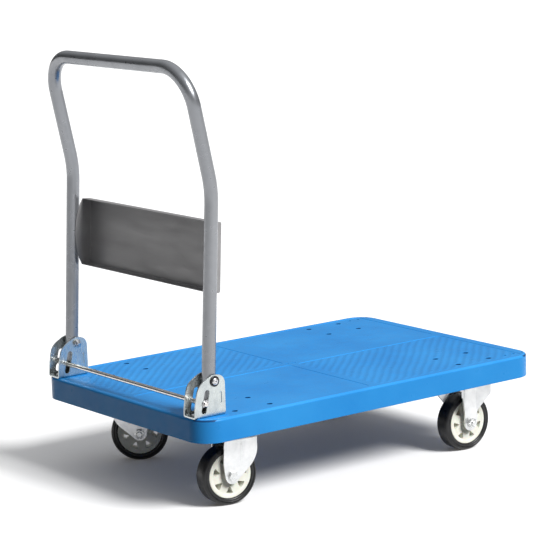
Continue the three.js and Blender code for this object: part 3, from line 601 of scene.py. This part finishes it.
def tread_slab(field, holes):
    """A slab sunk in the field's floor, with the ribs as its top."""
    x0, x1, y0, y1 = field
    floor = DECK_TOP - TREAD_DEPTH
    count_x = round((x1 - x0) / TREAD_STEP)
    count_y = round((y1 - y0) / TREAD_STEP)
    near = [h for h in holes if x0 < h[0] < x1 and y0 < h[1] < y1]
    points = []
    for j in range(count_y + 1):
        for i in range(count_x + 1):
            x = x0 + (x1 - x0) * i / count_x
            y = y0 + (y1 - y0) * j / count_y
            points.append((x, y, floor + 0.002 + tread_height(x, y, field, near)))
    width = count_x + 1
    faces = []
    for j in range(count_y):
        for i in range(count_x):
            a = j * width + i
            faces.append((a, a + 1, a + width + 1, a + width))
    rim = list(range(width))
    rim += [j * width + count_x for j in range(1, count_y + 1)]
    rim += [count_y * width + i for i in range(count_x - 1, -1, -1)]
    rim += [j * width for j in range(count_y - 1, 0, -1)]
    start = len(points)
    points += [(points[i][0], points[i][1], floor - 0.6) for i in rim]
    total = len(rim)
    for k in range(total):
        n = (k + 1) % total
        faces.append((rim[k], rim[n], start + n, start + k))
    faces.append(tuple(range(start, start + total)))
    return points, faces


def deck_solid():
    (x0, y0, z0), (x1, y1, z1) = DECK_LOW, DECK_HIGH
    inner = z1 - DECK_SKIN

    def ring(inset, z):
        radius = DECK_CORNER - inset
        outline = rectangle(x0 + inset, x1 - inset, y0 + inset, y1 - inset, radius, 14)
        return [(x, y, z) for x, y in outline]

    fillet = [
        ring(DECK_EDGE - x, z1 - DECK_EDGE + z) for x, z in arc((0, 0), DECK_EDGE, 0, 90, 8)
    ]
    lip = 0.9
    rings = [
        ring(DECK_WALL + 3, inner),
        ring(DECK_WALL + 0.9, inner - 0.9),
        ring(DECK_WALL, inner - 3),
        ring(DECK_WALL, z0 + lip),
        ring(DECK_WALL - lip, z0),
        ring(lip, z0),
        ring(0.25, z0 + 0.3),
        ring(0, z0 + lip),
        *fillet,
    ]
    shell = loft(rings)

    rib_z = (z0 + RIB_LIFT, inner + 1)
    places = mount_places()
    lines_x = sorted({round(x, 3) for x, y in places} | {0.0})
    lines_y = sorted({y for y in {round(y, 3) for x, y in places} if abs(y) < 200} | {0.0})
    reach_x, reach_y = x1 - DECK_WALL + 1, y1 - DECK_WALL + 1
    half = RIB / 2
    long_ribs = together(*(
        prism(rectangle(-reach_x, reach_x, y - half, y + half), rib_z) for y in lines_y
    ))
    cross_ribs = together(*(
        prism(rectangle(x - half, x + half, -reach_y, reach_y), rib_z) for x in lines_x
    ))
    boss_foot = box("caster_plate_swivel_near")[1][2] + 0.3
    mount_bosses = together(*(
        rod(BOSS_RADIUS, (boss_foot, inner + 1), centre=(x, y, 0)) for x, y in places
    ))
    bracket_bosses = together(*(
        rod(BOSS_RADIUS, (z1 - BRACKET_BOSS, inner + 1), centre=(x, y, 0)) for x, y in bracket_places()
    ))
    shell = join(shell, long_ribs, cross_ribs, mount_bosses, bracket_bosses)

    floor = z1 - TREAD_DEPTH
    fields = tread_fields()
    pockets = []
    for fx0, fx1, fy0, fy1 in fields:
        rings = []
        for grow, z in ((0, floor), (TREAD_DEPTH, z1), (TREAD_DEPTH, z1 + 2)):
            outline = rectangle(fx0 - grow, fx1 + grow, fy0 - grow, fy1 + grow, TREAD_CORNER, 6)
            rings.append([(x, y, z) for x, y in outline])
        pockets.append(loft(rings))
    bracket_end = box("hinge_bracket_far")[1][0]
    lands = together(*(
        prism(rectangle(x0 - 1, bracket_end + 4, sign * LEG_Y - 24, sign * LEG_Y + 24, 3), (floor - 1, z1 + 3))
        for sign in SIDES.values()
    ))
    shell = cut(shell, cut(together(*pockets), lands))
    ribbed = [fields[1], fields[2]]
    shell = join(shell, *(cut(tread_slab(field, places), lands) for field in ribbed))

    holes = []
    for x, y in places:
        profile = [(0, boss_foot - 2), (4.3, boss_foot - 2), (4.3, floor - 4.5), (6.1, floor - 4.5),
                   (6.3, floor - 0.4), (6.8, floor + 0.02), (6.8, z1 + 2), (0, z1 + 2)]
        holes.append(revolve(profile, sides=24, centre=(x, y, 0)))
    for x, y in bracket_places():
        holes.append(rod(BRACKET_SCREW_HOLE, (z1 - BRACKET_BOSS - 2, z1 + 2), centre=(x, y, 0)))
    for sign in SIDES.values():
        for from_end in (15, 40, 65):
            top = z1 if from_end < TREAD_BORDER[0] else floor
            profile = [(0, z1 - 3.5), (3.2, z1 - 3.5), (3.3, top - 0.4), (3.8, top + 0.02),
                       (3.8, z1 + 2), (0, z1 + 2)]
            holes.append(revolve(profile, sides=20, centre=(x1 - from_end, sign * (y1 - 30), 0)))
    for x, y in ((-8, 3.5), (9, 1.0)):
        outline = rectangle(x - 6, x + 6, y - 1.6, y + 1.6, 1.5, 5)
        holes.append(prism(outline, (z1 - 1.4, z1 + 2)))
    return cut(shell, together(*holes))


piece("deck_shell", deck_solid(), "chassis", DECK_PAINT, ["deck"], smooth=35)


# --- hinge brackets

BRACKET_LOW, BRACKET_HIGH = box("hinge_bracket_far")
BRACKET_FOOT = BRACKET_LOW[2]
PIVOT_RISE = PIVOT[2] - BRACKET_FOOT


def cheek_outline():
    """The cheek in X and Z, measured from the pivot and from the bracket's foot."""
    front, back = BRACKET_LOW[0] - PIVOT[0], BRACKET_HIGH[0] - PIVOT[0]
    top = BRACKET_HIGH[2] - BRACKET_FOOT
    shoulder = (-20.5, PIVOT_RISE + 5.5)
    brow = (front + 7, PIVOT_RISE - 17)
    points = [(front, 0), (back, 0), (back, PIVOT_RISE - 9)]
    points += curve((back, PIVOT_RISE - 9), (back, top), (0, top), 14)
    points += curve((0, top), (-10.5, top - 1), shoulder, 6)
    points += curve(shoulder, (front + 11, PIVOT_RISE - 3), brow, 8)
    points += curve(brow, (front, brow[1] / 2), (front, 0), 8)[:-1]
    return points


def slot_outline(width):
    """The slanted slot for the foot bar, measured as the cheek is."""
    top, foot = Vector((-18.5, 50)), Vector((-27.5, 14))
    tilt = math.degrees(math.atan2(top.y - foot.y, top.x - foot.x)) - 90
    radius = width / 2
    return arc(top, radius, tilt, tilt + 180, 12) + arc(foot, radius, tilt + 180, tilt + 360, 12)


def bracket_solid():
    inner, outer, sheet = 17.0, 20.0, 3.0
    bend, inside = 4.5, 1.5
    high = 120
    section = [(-outer, high)] + arc((-outer + bend, bend), bend, 180, 270, 6)
    section += arc((outer - bend, bend), bend, 270, 360, 6) + [(outer, high), (inner, high)]
    section += arc((inner - inside, sheet + inside), inside, 0, -90, 4)
    section += arc((-inner + inside, sheet + inside), inside, 270, 180, 4) + [(-inner, high)]
    bent = prism(section, (-60, 40), "x")
    cheeks = keep(bent, prism(cheek_outline(), (-30, 30), "y"))

    stop_rise = 46 - PIVOT_RISE
    stop_x = stop_rise * math.tan(LEAN) + TUBE_RADIUS / math.cos(LEAN) + 0.5
    stop = prism(rectangle(-18, 18, 2, 46), (stop_x, stop_x + sheet), "x")
    tab_slot = prism(rectangle(-30, 30, 26, 47.5), (stop_x - 0.8, stop_x + sheet + 0.8), "x")
    tab = prism(rectangle(1 - outer, outer - 1, 27, 46), (stop_x, stop_x + sheet), "x")
    cheeks = join(cut(cheeks, tab_slot), join(stop, tab))

    pivot_hole = rod(PIVOT_HOLE, (-30, 30), "y", 32, (0, 0, PIVOT_RISE))
    slot = prism(slot_outline(SLOT_WIDTH), (-30, 30), "y")
    screw_holes = [
        rod(BRACKET_SCREW_HOLE, (-2, 6), centre=(x - PIVOT[0], 0, 0)) for x, y in bracket_places()[:2]
    ]
    return cut(cheeks, together(pivot_hole, slot), together(*screw_holes))


def pivot_bolt_solid(shank_end):
    """Head at +Y: a broad flange round a domed centre with a driving recess."""
    under = 20.3
    head = [(0, -shank_end), (4.2, -shank_end), (5, -shank_end + 0.8), (5, under), (10.6, under),
            (11, under + 0.5), (10.8, under + 1.5), (9.4, under + 2.1), (7.9, under + 1.5),
            (7.6, under + 1.6), (7.3, under + 3.0), (6.2, under + 4.4), (4.6, under + 5),
            (3.3, under + 5), (2.9, under + 4.6), (2.8, under + 2.4), (0, under + 2.2)]
    return revolve(head, "y", 40)


def thread_profile(radius, start, end, pitch=1.25, depth=0.45):
    """Rings that read as a thread, from start to end."""
    points = []
    step = pitch if end > start else -pitch
    height = start
    while abs(end - height) > pitch:
        points += [(radius, height), (radius - depth, height + step / 2)]
        height += step
    return points + [(radius, height), (radius, end - step * 0.4), (radius - 0.7, end), (0, end)]


def hexagon(radius, low, high, chamfer_low=True, chamfer_high=True, bore=0.0, axis="z"):
    """A hexagon head or nut with turned corners, from low to high."""
    outline = [(radius * math.cos(math.radians(60 * k)), radius * math.sin(math.radians(60 * k)))
               for k in range(6)]
    flat = radius * math.cos(math.radians(30))
    drop = (radius - flat) * 0.62
    profile = [(0, low)]
    profile += [(flat * 0.96, low), (radius + 0.1, low + drop)] if chamfer_low else [(radius + 1, low)]
    profile += [(radius + 0.1, high - drop), (flat * 0.96, high)] if chamfer_high else [(radius + 1, high)]
    profile += [(0, high)]
    shape = keep(prism(outline, (low - 1, high + 1), axis), revolve(profile, axis, 48))
    if bore > 0:
        ream = [(0, low - 1), (bore + 1, low - 1), (bore + 1, low), (bore, low + 0.8),
                (bore, high - 0.8), (bore + 1, high), (bore + 1, high + 1), (0, high + 1)]
        shape = cut(shape, revolve(ream, axis, 32))
    return shape


BRACKET = bracket_solid()
PIVOT_BOLT = pivot_bolt_solid(29.3)
PIVOT_NUT = hexagon(8.6, -26.3, -20.3, bore=5.3, axis="y")
BRACKET_SCREW = revolve(
    [(0, -23.4), (2.2, -23.4), (3, -22.4), (3, 3.6), (5.5, 3.6), (5.6, 4.2), (5.2, 5.6), (4, 6.7),
     (2.6, 7.1), (1.9, 7.1), (1.7, 5.2), (0, 5.1)], sides=28)

for side, sign in SIDES.items():
    flip = Matrix.Rotation(math.pi if sign < 0 else 0, 4, "Z")
    at_foot = at(PIVOT[0], sign * LEG_Y, BRACKET_FOOT)
    at_pivot = at(PIVOT[0], sign * LEG_Y, PIVOT[2]) @ flip
    piece(f"bracket_{side}", BRACKET, "chassis", ZINC, [f"hinge_bracket_{side}"], 0.5, at_foot)
    bolt = piece(f"pivot_rivet_{side}", PIVOT_BOLT, "chassis", STEEL,
                 [f"pivot_bolt_{side}"], place=at_pivot, smooth=50)
    bolt.data.materials.append(PIVOT_RING_SHADE)
    # faces of the outer flange ring take the near-black steel, a painted shade round the pivot head
    for face in bolt.data.polygons:
        out = Vector((face.center.x / MM - PIVOT[0], face.center.z / MM - PIVOT[2]))
        if 7.2 < out.length and abs(face.center.y / MM) > LEG_Y + 20:
            face.material_index = 1
    piece(f"pivot_lock_nut_{side}", PIVOT_NUT, "chassis", STEEL,
          [f"pivot_nut_{side}"], place=at_pivot, smooth=30)
    for end in ("front", "rear"):
        node = f"bracket_screw_{side}_{end}"
        x, y = middle(node)[:2]
        piece(f"base_{node}", BRACKET_SCREW, "chassis", STEEL, [node],
              place=at(x, y, BRACKET_FOOT), smooth=30)


# --- handle

def bent_path(corners, step=math.radians(3)):
    """A line through corners, each (point, bend radius)."""
    path = [corners[0][0]]
    for index in range(1, len(corners) - 1):
        point, radius = corners[index]
        into = (point - corners[index - 1][0]).normalized()
        out = (corners[index + 1][0] - point).normalized()
        bend = into.angle(out)
        start = point - into * radius * math.tan(bend / 2)
        inward = (out - into * out.dot(into)).normalized()
        count = max(2, math.ceil(bend / step))
        for k in range(count + 1):
            angle = bend * k / count
            path.append(start + into * radius * math.sin(angle) + inward * radius * (1 - math.cos(angle)))
    path.append(corners[-1][0])
    return path


def tube_solid():
    along = Vector((math.sin(LEAN), 0, math.cos(LEAN)))
    pivot = Vector(PIVOT)
    low, high = box("handle_tube")
    side = [
        (pivot - along * LEG_BELOW_PIVOT, 0),
        (pivot + along * KNEE_ABOVE_PIVOT, KNEE_BEND),
        (Vector((low[0] + TUBE_RADIUS, 0, high[2] - TUBE_RADIUS)), TOP_BEND),
    ]
    corners = [(Vector((point.x, -LEG_Y, point.z)), bend) for point, bend in side]
    corners += [(Vector((point.x, LEG_Y, point.z)), bend) for point, bend in reversed(side)]
    tube = sweep(bent_path(corners), TUBE_RADIUS, 40, TUBE_RADIUS - TUBE_WALL)
    reach = LEG_Y + TUBE_RADIUS + 5
    return cut(tube, rod(PIVOT_HOLE, (-reach, reach), "y", 24, PIVOT))


def panel_solid():
    """Pressed pan between the legs, drawn from the pivot with the handle upright."""
    front, depth, sheet, height, bend = 14.5, 21.5, 1.5, 143.0, 4.0
    back = front + depth
    end = LEG_Y - TUBE_RADIUS - 0.3
    inner = bend - sheet
    section = [(front, 0)] + arc((back - bend, bend), bend, 270, 360, 6)
    section += arc((back - bend, height - bend), bend, 0, 90, 6) + [(front, height), (front, height - sheet)]
    section += arc((back - bend, height - bend), inner, 90, 0, 6)
    section += arc((back - bend, bend), inner, 360, 270, 6) + [(front, sheet)]
    pan = prism(section, (-end, end), "y")
    saddle = arc((back - bend, bend), bend, 270, 360, 6)
    saddle += arc((back - bend, height - bend), bend, 0, 90, 6) + [(front, height)]
    bulge, steps = front - 18 * 1.33, 24
    for index in range(1, steps):
        t = index / steps
        saddle.append((
            front + 3 * t * (1 - t) * (bulge - front),
            height * ((1 - t) ** 3 + 3 * t * (1 - t) ** 2 * 0.72 + 3 * t * t * (1 - t) * 0.28),
        ))
    saddle.append((front, 0))
    tabs = together(prism(saddle, (end - sheet, end), "y"), prism(saddle, (-end, sheet - end), "y"))
    return moved(join(pan, tabs), at(0, 0, PANEL_FOOT))


piece("handle_frame", tube_solid(), "handle", TUBE_PAINT, ["handle_tube"])
piece("handle_plate", panel_solid(), "handle", PANEL_PAINT, ["handle_panel"], 0.45,
      at(*PIVOT) @ Matrix.Rotation(LEAN, 4, "Y"))


# --- foot bar

BAR = middle("foot_bar")


def bar_solid():
    radius, neck = 5.0, 3.7
    half = box("foot_bar")[1][1]
    groove = (half - 5 + 0.3, half - 5 + 2.1)
    end = [(radius - 0.2, half - 0.5), (radius - 0.7, half - 0.1), (radius - 1.2, half), (0, half)]
    right = [(radius, groove[0]), (neck, groove[0] + 0.05), (neck, groove[1] - 0.05), (radius, groove[1]),
             (radius, half - 1.0), *end]
    left = [(r, -y) for r, y in reversed(right)]
    return revolve(left + right, "y", 36)


def clip_solid():
    """An open retaining ring with two inner notches."""
    bore, outside = 4.0, 8.0
    start, end = -54.0, 234.0
    outline = arc((0, 0), outside, start, end, 32)
    notches = []
    for index in range(33):
        angle = end + (start - end) * index / 32
        deep = 1.3 if abs(angle - 30) < 14 or abs(angle - 150) < 14 else 0.0
        notches += arc((0, 0), bore + deep, angle, angle, 1)[:1]
    return prism(outline + notches, (-0.6, 0.6), "y")


def spring_solid(height):
    radius, wire, turns, steps = 3.7, 1.4, 4.0, 28
    rise = height - wire
    path = []
    total = int(turns * steps)
    for index in range(total + 1):
        t = index / total
        dead = 0.75 / turns
        climb = max(0.0, min(1.0, (t - dead) / (1 - 2 * dead)))
        base = min(t, dead) / dead * 0.09 + max(0.0, t - (1 - dead)) / dead * 0.09
        z = wire / 2 + rise * (climb * 0.82 + base)
        angle = 2 * math.pi * turns * t
        path.append(Vector((radius * math.cos(angle), radius * math.sin(angle), z)))
    return sweep(path, wire / 2, 12)


piece("lock_bar_rod", bar_solid(), "lock_bar", BAR_STEEL, ["foot_bar"],
      place=at(BAR[0], 0, BAR[2]), smooth=30)
CLIP = clip_solid()
SPRING_LOW, SPRING_HIGH = box("return_spring_near")
SPRING_HEIGHT = SPRING_HIGH[2] - SPRING_LOW[2]
SPRING = spring_solid(SPRING_HEIGHT)
for side, sign in SIDES.items():
    piece(f"bar_ring_{side}", CLIP, "lock_bar", STEEL, [f"bar_clip_{side}"], 0.15,
          at(BAR[0], middle(f"bar_clip_{side}")[1], BAR[2]))
    coil = piece(f"coil_{side}", SPRING, "chassis", SPRING_STEEL,
                 [f"return_spring_{side}"], place=at(BAR[0], sign * LEG_Y, SPRING_LOW[2]))
    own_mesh(coil)


# --- wheels

def mirrored(profile):
    """A closed ring profile from its +Y half, given from the bore outwards."""
    return profile + [(r, -y) for r, y in reversed(profile)]


def tyre_solid():
    half, outside = 18.0, WHEEL_RADIUS
    round_radius = 6.5
    side = [(48.6, 15.4), (49.4, 17.0), (50.6, 17.8), (52.2, half), (53.4, 17.95), (53.9, 17.45),
            (54.5, 17.45), (55.0, 17.95)]
    shoulder = [(outside - round_radius + a, half - round_radius + b)
                for b, a in arc((0, 0), round_radius, 90, 4, 9)]
    crown = [(outside - 0.05, 10.9), (outside - 0.45, 10.5), (outside - 0.45, 9.9), (outside - 0.02, 9.5),
             (outside, 5.0)]
    return revolve(mirrored(side + shoulder + crown), "y", 96)


def hub_solid():
    face = [(6.35, HUB_HALF - 0.6), (6.95, HUB_HALF), (12.2, HUB_HALF), (13.0, HUB_HALF - 0.8),
            (13.7, 17.2), (14.7, 15.4), (16.4, 14.6), (19.0, 14.3), (37.8, 14.2), (40.4, 14.5),
            (42.0, 15.1), (43.4, 15.5), (47.4, 15.5), (48.3, 14.8)]
    body = revolve(mirrored(face), "y", 84)
    windows = []
    inner, outer = 23.5, 38.2
    half = outer * math.pi / HUB_WINDOWS * 0.5
    outline = rounded([(inner, -0.6, 0.5), (outer - 1.0, -half, 1.3), (outer + 0.6, -half * 0.45, 8),
                       (outer + 0.6, half * 0.45, 8), (outer - 1.0, half, 1.3), (inner, 0.6, 0.5)], 4)
    for index in range(HUB_WINDOWS):
        turn = Matrix.Rotation(2 * math.pi * index / HUB_WINDOWS, 4, "Y")
        windows.append(moved(prism(outline, (-20, 20), "y"), turn))
    return cut(body, together(*windows))


AXLE_END = FORK_OUTER + 0.3 + 9 + 3
axle_face = FORK_OUTER + 0.3
AXLE_SHANK = revolve(
    [(0, axle_face + 1)] + [(6, axle_face + 1)] + thread_profile(6, -axle_face + 2, -AXLE_END), "y", 32)
AXLE_HEAD = hexagon(10.6, axle_face, axle_face + 6, chamfer_low=False, axis="y")
AXLE_BOLT = join(AXLE_SHANK, AXLE_HEAD)
AXLE_NUT = hexagon(10.6, -axle_face - 9, -axle_face, bore=6.3, axis="y")
TYRE = tyre_solid()
HUB = hub_solid()


# --- casters

def plate_solid(middle_hole=0.0):
    """Mounting plate with its four holes, on the plate's own height."""
    low, high = box("caster_plate_swivel_near")
    outline = rectangle(-55, 55, -48, 48, 8, 6)
    plate = prism(outline, (low[2], high[2]))
    span = (low[2] - 2, high[2] + 2)
    holes = [rod(4.3, span, centre=(x, y, 0)) for x in (-44, 44) for y in (-37.5, 37.5)]
    if middle_hole > 0:
        holes.append(rod(middle_hole, span, sides=32))
    return cut(plate, together(*holes))


def race_solid():
    low, high = box("ball_race_swivel_near")
    z0, z1 = low[2], high[2]
    return revolve(
        [(13, z0), (28.5, z0), (30.6, z0 + 0.7), (31.4, z0 + 1.8), (31.4, z0 + 3.2), (30.4, z0 + 4.0),
         (29.6, z0 + 4.3), (29.6, z0 + 4.9), (30.4, z0 + 5.2), (32, z0 + 6.2), (32, z1 - 1.5),
         (31.2, z1 - 0.5), (29.6, z1), (13, z1)], sides=64)


def kingpin_solid():
    low, high = box("kingpin_swivel_near")
    z0, z1 = low[2], high[2]
    under, over = z0 + 3.6, z1 - 3.6
    foot = [(0, z0), (4, z0 + 0.15), (7.2, z0 + 0.8), (9, z0 + 2.0), (9.5, under), (6, under)]
    head = [(6, over), (9.5, over), (9, z1 - 2.0), (7.2, z1 - 0.8), (4, z1 - 0.15), (0, z1)]
    return revolve(foot + head, sides=36)


def swivel_fork_solid(trail):
    """Fork with the wheel trailing towards +X of the swivel axis."""
    inner, outer = FORK_OUTER - FORK_SHEET, FORK_OUTER
    top = box("fork_swivel_near")[1][2]
    under = top - CROWN_SHEET
    bend, inside = 7.0, 3.0
    section = [(-outer, 20)] + arc((-outer + bend, top - bend), bend, 180, 90, 7)
    section += arc((outer - bend, top - bend), bend, 90, 0, 7) + [(outer, 20), (inner, 20)]
    section += arc((inner - inside, under - inside), inside, 0, 90, 5)
    section += arc((-inner + inside, under - inside), inside, 90, 180, 5) + [(-inner, 20)]
    bent = prism(section, (-40, 80), "x")

    axle_z, chin = WHEEL_RADIUS, -145
    front, back, lead = -CROWN_FRONT, CROWN_BACK, -LEG_FRONT
    side = [(front, top + 1), (front, under - 0.5), (lead - 3, under - 0.5)]
    side += curve((lead - 3, under - 0.5), (lead, under - 0.5), (lead, under - 4), 4)
    side += [(lead, top - 30)]
    side += curve((lead, top - 30), (lead + 2, top - 50), (0, axle_z + LEG_END * 0.9), 10)
    side += arc((trail, axle_z), LEG_END, chin, 0, 20)
    side += curve((trail + LEG_END, axle_z), (trail + 24, axle_z + 34), (back, top), 14) + [(back, top + 1)]
    plan = rounded([(front, -outer, 10), (90, -outer, 0), (90, outer, 0), (front, outer, 10)], 6)
    fork = keep(bent, prism(side, (-40, 40), "y"), prism(plan, (0, 200)))

    creases = []
    for sign in SIDES.values():
        rings = []
        for z, proud in ((80, -0.5), (86, 0.5), (94, 1.1), (120, 1.1), (130, 0.5), (136, -0.5)):
            ring = [(CREASE_PLACE + CREASE_HALF * x, sign * (outer - 0.6 + (proud + 0.6) * y), z)
                    for x, y in arc((0, 0), 1, 0, 180, 12)]
            ring += [(CREASE_PLACE + x, sign * (outer - 1.2), z) for x in (-CREASE_HALF, CREASE_HALF)]
            rings.append(ring)
        creases.append(loft(rings))
    fork = join(fork, *creases)
    reach = outer + 5
    axle_hole = rod(AXLE_HOLE, (-reach, reach), "y", 32, (trail, 0, axle_z))
    return cut(fork, axle_hole, rod(AXLE_HOLE, (under - 10, top + 10), sides=32))


def thick_line(line, thickness, radius, steps=6):
    """An outline of even thickness round a bent line, for a sheet seen on its edge."""
    half = thickness / 2
    left, right = [], []
    for index, point in enumerate(line):
        here = Vector(point)
        into = (here - Vector(line[index - 1])).normalized() if index > 0 else None
        out = (Vector(line[index + 1]) - here).normalized() if index < len(line) - 1 else None
        into, out = into or out, out or into
        mean = (into + out).normalized()
        normal = Vector((-mean.y, mean.x))
        miter = half / max(0.2, normal.dot(Vector((-into.y, into.x))))
        turn = into.x * out.y - into.y * out.x
        bend = 0 if index in (0, len(line) - 1) else radius
        shift = half if turn > 0 else -half
        for outline, way in ((left, 1), (right, -1)):
            outline.append((*(here + way * miter * normal), max(0.0, bend - way * shift) if bend else 0))
    return rounded(left + right[::-1], steps)


def fixed_fork_solid():
    """Plate with two legs, each one sheet with its flared flanges."""
    top = box("caster_plate_swivel_near")[0][2]
    half_width, axle_z = 17.5, WHEEL_RADIUS
    spread = math.radians(41)
    reach = 33.0
    y = FORK_OUTER - FORK_SHEET / 2
    corner = half_width - 1
    flare = (corner + reach * math.cos(spread), y + reach * math.sin(spread))
    line = [(-flare[0], flare[1]), (-corner, y), (corner, y), flare]
    sheet = prism(thick_line(line, FORK_SHEET, 5), (20, top + 1))

    # The flanges stop under the heads of the mounting screws.
    clear = box("mount_screw_fixed_near_1")[0][2] - 2
    right = [
        (half_width, axle_z + 22), (corner + 3, axle_z + 28), (flare[0] - 1.5, 126), (flare[0] + 3, 131),
        (flare[0] + 3, clear), (corner + 14 * math.cos(spread), clear),
        (corner + 12 * math.cos(spread), top + 2),
    ]
    mask = arc((0, axle_z), half_width, 180, 360, 24) + right + [(-a, b) for a, b in reversed(right)]
    leg = keep(sheet, prism(mask, (0, 80), "y"))
    mirror = Matrix.Rotation(math.pi, 4, "Z")
    fork = join(plate_solid(), leg, moved(leg, mirror))
    reach = FORK_OUTER + 5
    return cut(fork, rod(AXLE_HOLE, (-reach, reach), "y", 32, (0, 0, axle_z)))


def screw_solid():
    """Hexagon screw from below with a washer face, on its own height."""
    low, high = box("mount_screw_fixed_near_1")
    z0, z1 = low[2], high[2]
    head = hexagon(7.5, z0, z0 + 5, chamfer_high=False)
    shank = revolve([(0, z0 + 4)] + [(4, z0 + 4)] + thread_profile(4, z0 + 14, z1), sides=24)
    return join(head, shank)


SWIVEL_PLATE = plate_solid(6.3)
RACE = race_solid()
KINGPIN = kingpin_solid()
FIXED_FORK = fixed_fork_solid()
SCREW = screw_solid()

for caster in CASTERS:
    kind, side = caster.split("_")
    wheel_body = f"wheel_{caster}"
    axle = joint_place(f"roll_{caster}")
    if kind == "swivel":
        centre = joint_place(f"swivel_{side}")
        holder = f"swivel_{side}"
        trail = math.hypot(axle[0] - centre[0], axle[1] - centre[1])
        heading = math.atan2(axle[1] - centre[1], axle[0] - centre[0])
    else:
        centre, holder, trail, heading = axle, "chassis", 0.0, 0.0
    base = at(*centre[:2])
    turned = base @ Matrix.Rotation(heading, 4, "Z")
    at_axle = turned @ at(trail, 0, WHEEL_RADIUS)
    if kind == "swivel":
        piece(f"plate_{caster}", SWIVEL_PLATE, "chassis", ZINC, [f"caster_plate_{caster}"], 0.5, base)
        piece(f"race_{caster}", RACE, "chassis", ZINC, [f"ball_race_{caster}"], place=base, smooth=50)
        piece(f"pin_{caster}", KINGPIN, "chassis", STEEL, [f"kingpin_{caster}"], place=base)
        piece(f"yoke_{caster}", swivel_fork_solid(trail), holder, FORK_ZINC,
              [f"fork_{caster}"], 0.6, turned)
    else:
        piece(f"yoke_{caster}", FIXED_FORK, holder, FORK_ZINC, [f"fork_{caster}"], 0.6, base)
    piece(f"tread_{caster}", TYRE, wheel_body, RUBBER, [f"tyre_{caster}"],
          place=at_axle, smooth=50)
    piece(f"hub_{caster}", HUB, wheel_body, HUB_PAINT, [f"wheel_hub_{caster}"], 0.35,
          at_axle @ Matrix.Rotation(math.radians(WHEEL_TURNS[caster]), 4, "Y"), smooth=32)
    piece(f"axle_{caster}", AXLE_BOLT, holder, AXLE_ZINC, [f"axle_bolt_{caster}"],
          place=at_axle, smooth=30)
    piece(f"nut_{caster}", AXLE_NUT, holder, AXLE_ZINC, [f"axle_nut_{caster}"],
          place=at_axle, smooth=30)
    for index in range(1, 5):
        node = f"mount_screw_{caster}_{index}"
        x, y = middle(node)[:2]
        piece(f"hex_{node}", SCREW, "chassis", STEEL, [node],
              place=at(x, y), smooth=30)


# --- floor, light and camera

def floor():
    size = 60.0
    corners = [(-size, -size, 0), (size, -size, 0), (size, size, 0), (-size, size, 0)]
    mesh = bpy.data.meshes.new("floor")
    mesh.from_pydata(corners, [], [(0, 1, 2, 3)])
    # the floor glows faintly in warm white: painted light that lifts the shadows on it and takes the blue cast
    # out of them
    paint = Paint("floor_white", Specular_IOR_Level=0.1, Emission_Strength=0.05)
    paint.shader.inputs["Emission Color"].default_value = colour(1.0, 0.93, 0.86)
    paint.colours(paint.mottle(900, colour(0.93, 0.93, 0.935), colour(0.95, 0.95, 0.955), detail=2))
    paint.roughness(paint.spread(paint.noise(300, detail=2), 0.75, 0.9))
    mesh.materials.append(paint.material)
    thing = add("floor", mesh)
    thing.visible_diffuse = False


def sun(name, toward, strength, softness, tint=(1, 1, 1)):
    """Light that comes from a direction, with a soft edge of so many degrees."""
    data = bpy.data.lights.new(name, "SUN")
    data.energy = strength
    data.angle = math.radians(softness)
    data.color = tint
    thing = add(name, data)
    thing.rotation_mode = "QUATERNION"
    thing.rotation_quaternion = Vector(toward).to_track_quat("Z", "Y")


def world():
    """Studio light: bright overhead, dimmer near the floor, dimmest past the handle end."""
    made = bpy.data.worlds.new("studio")
    made.use_nodes = True
    tree = made.node_tree
    back = tree.nodes["Background"]
    place = tree.nodes.new("ShaderNodeTexCoord").outputs["Generated"]

    def facing(direction, start, end, low, high):
        dot = tree.nodes.new("ShaderNodeVectorMath")
        dot.operation = "DOT_PRODUCT"
        tree.links.new(place, dot.inputs[0])
        dot.inputs[1].default_value = Vector(direction).normalized()
        spread = tree.nodes.new("ShaderNodeMapRange")
        spread.interpolation_type = "SMOOTHSTEP"
        tree.links.new(dot.outputs["Value"], spread.inputs["Value"])
        for socket, value in zip(("From Min", "From Max", "To Min", "To Max"), (start, end, low, high)):
            spread.inputs[socket].default_value = value
        return spread.outputs["Result"]

    product = tree.nodes.new("ShaderNodeMath")
    product.operation = "MULTIPLY"
    tree.links.new(facing((0, 0, 1), 0.05, 0.8, 0.10, 0.62), product.inputs[0])
    tree.links.new(facing((-1, 0.35, 0), 0.1, 0.75, 1.0, 0.42), product.inputs[1])
    tree.links.new(product.outputs[0], back.inputs["Strength"])
    back.inputs["Color"].default_value = colour(0.97, 0.985, 1.0)
    bpy.context.scene.world = made


def camera():
    azimuth, elevation, roll = -37.018, 10.567, -1.748
    target, distance = Vector((0.112937, 0.178717, 0.350)), 5.288683
    a, e, r = (math.radians(v) for v in (azimuth, elevation, roll))
    back = Vector((math.sin(a) * math.cos(e), -math.cos(a) * math.cos(e), math.sin(e)))
    right = (-back).cross(Vector((0, 0, 1))).normalized()
    up = right.cross(-back)
    tilted_right = right * math.cos(r) + up * math.sin(r)
    tilted_up = up * math.cos(r) - right * math.sin(r)
    data = bpy.data.cameras.new("camera")
    data.sensor_width = 36
    data.lens = 150.12881
    data.clip_start, data.clip_end = 0.1, 200
    thing = add("camera", data)
    thing.location = target + back * distance
    thing.rotation_mode = "QUATERNION"
    thing.rotation_quaternion = Matrix((tilted_right, tilted_up, back)).transposed().to_quaternion()
    bpy.context.scene.camera = thing


floor()
world()
sun("key", (0.27, -0.93, 0.87), 4.2, 24, (1, 0.995, 0.985))
camera()
bpy.context.scene.view_settings.view_transform = "Standard"
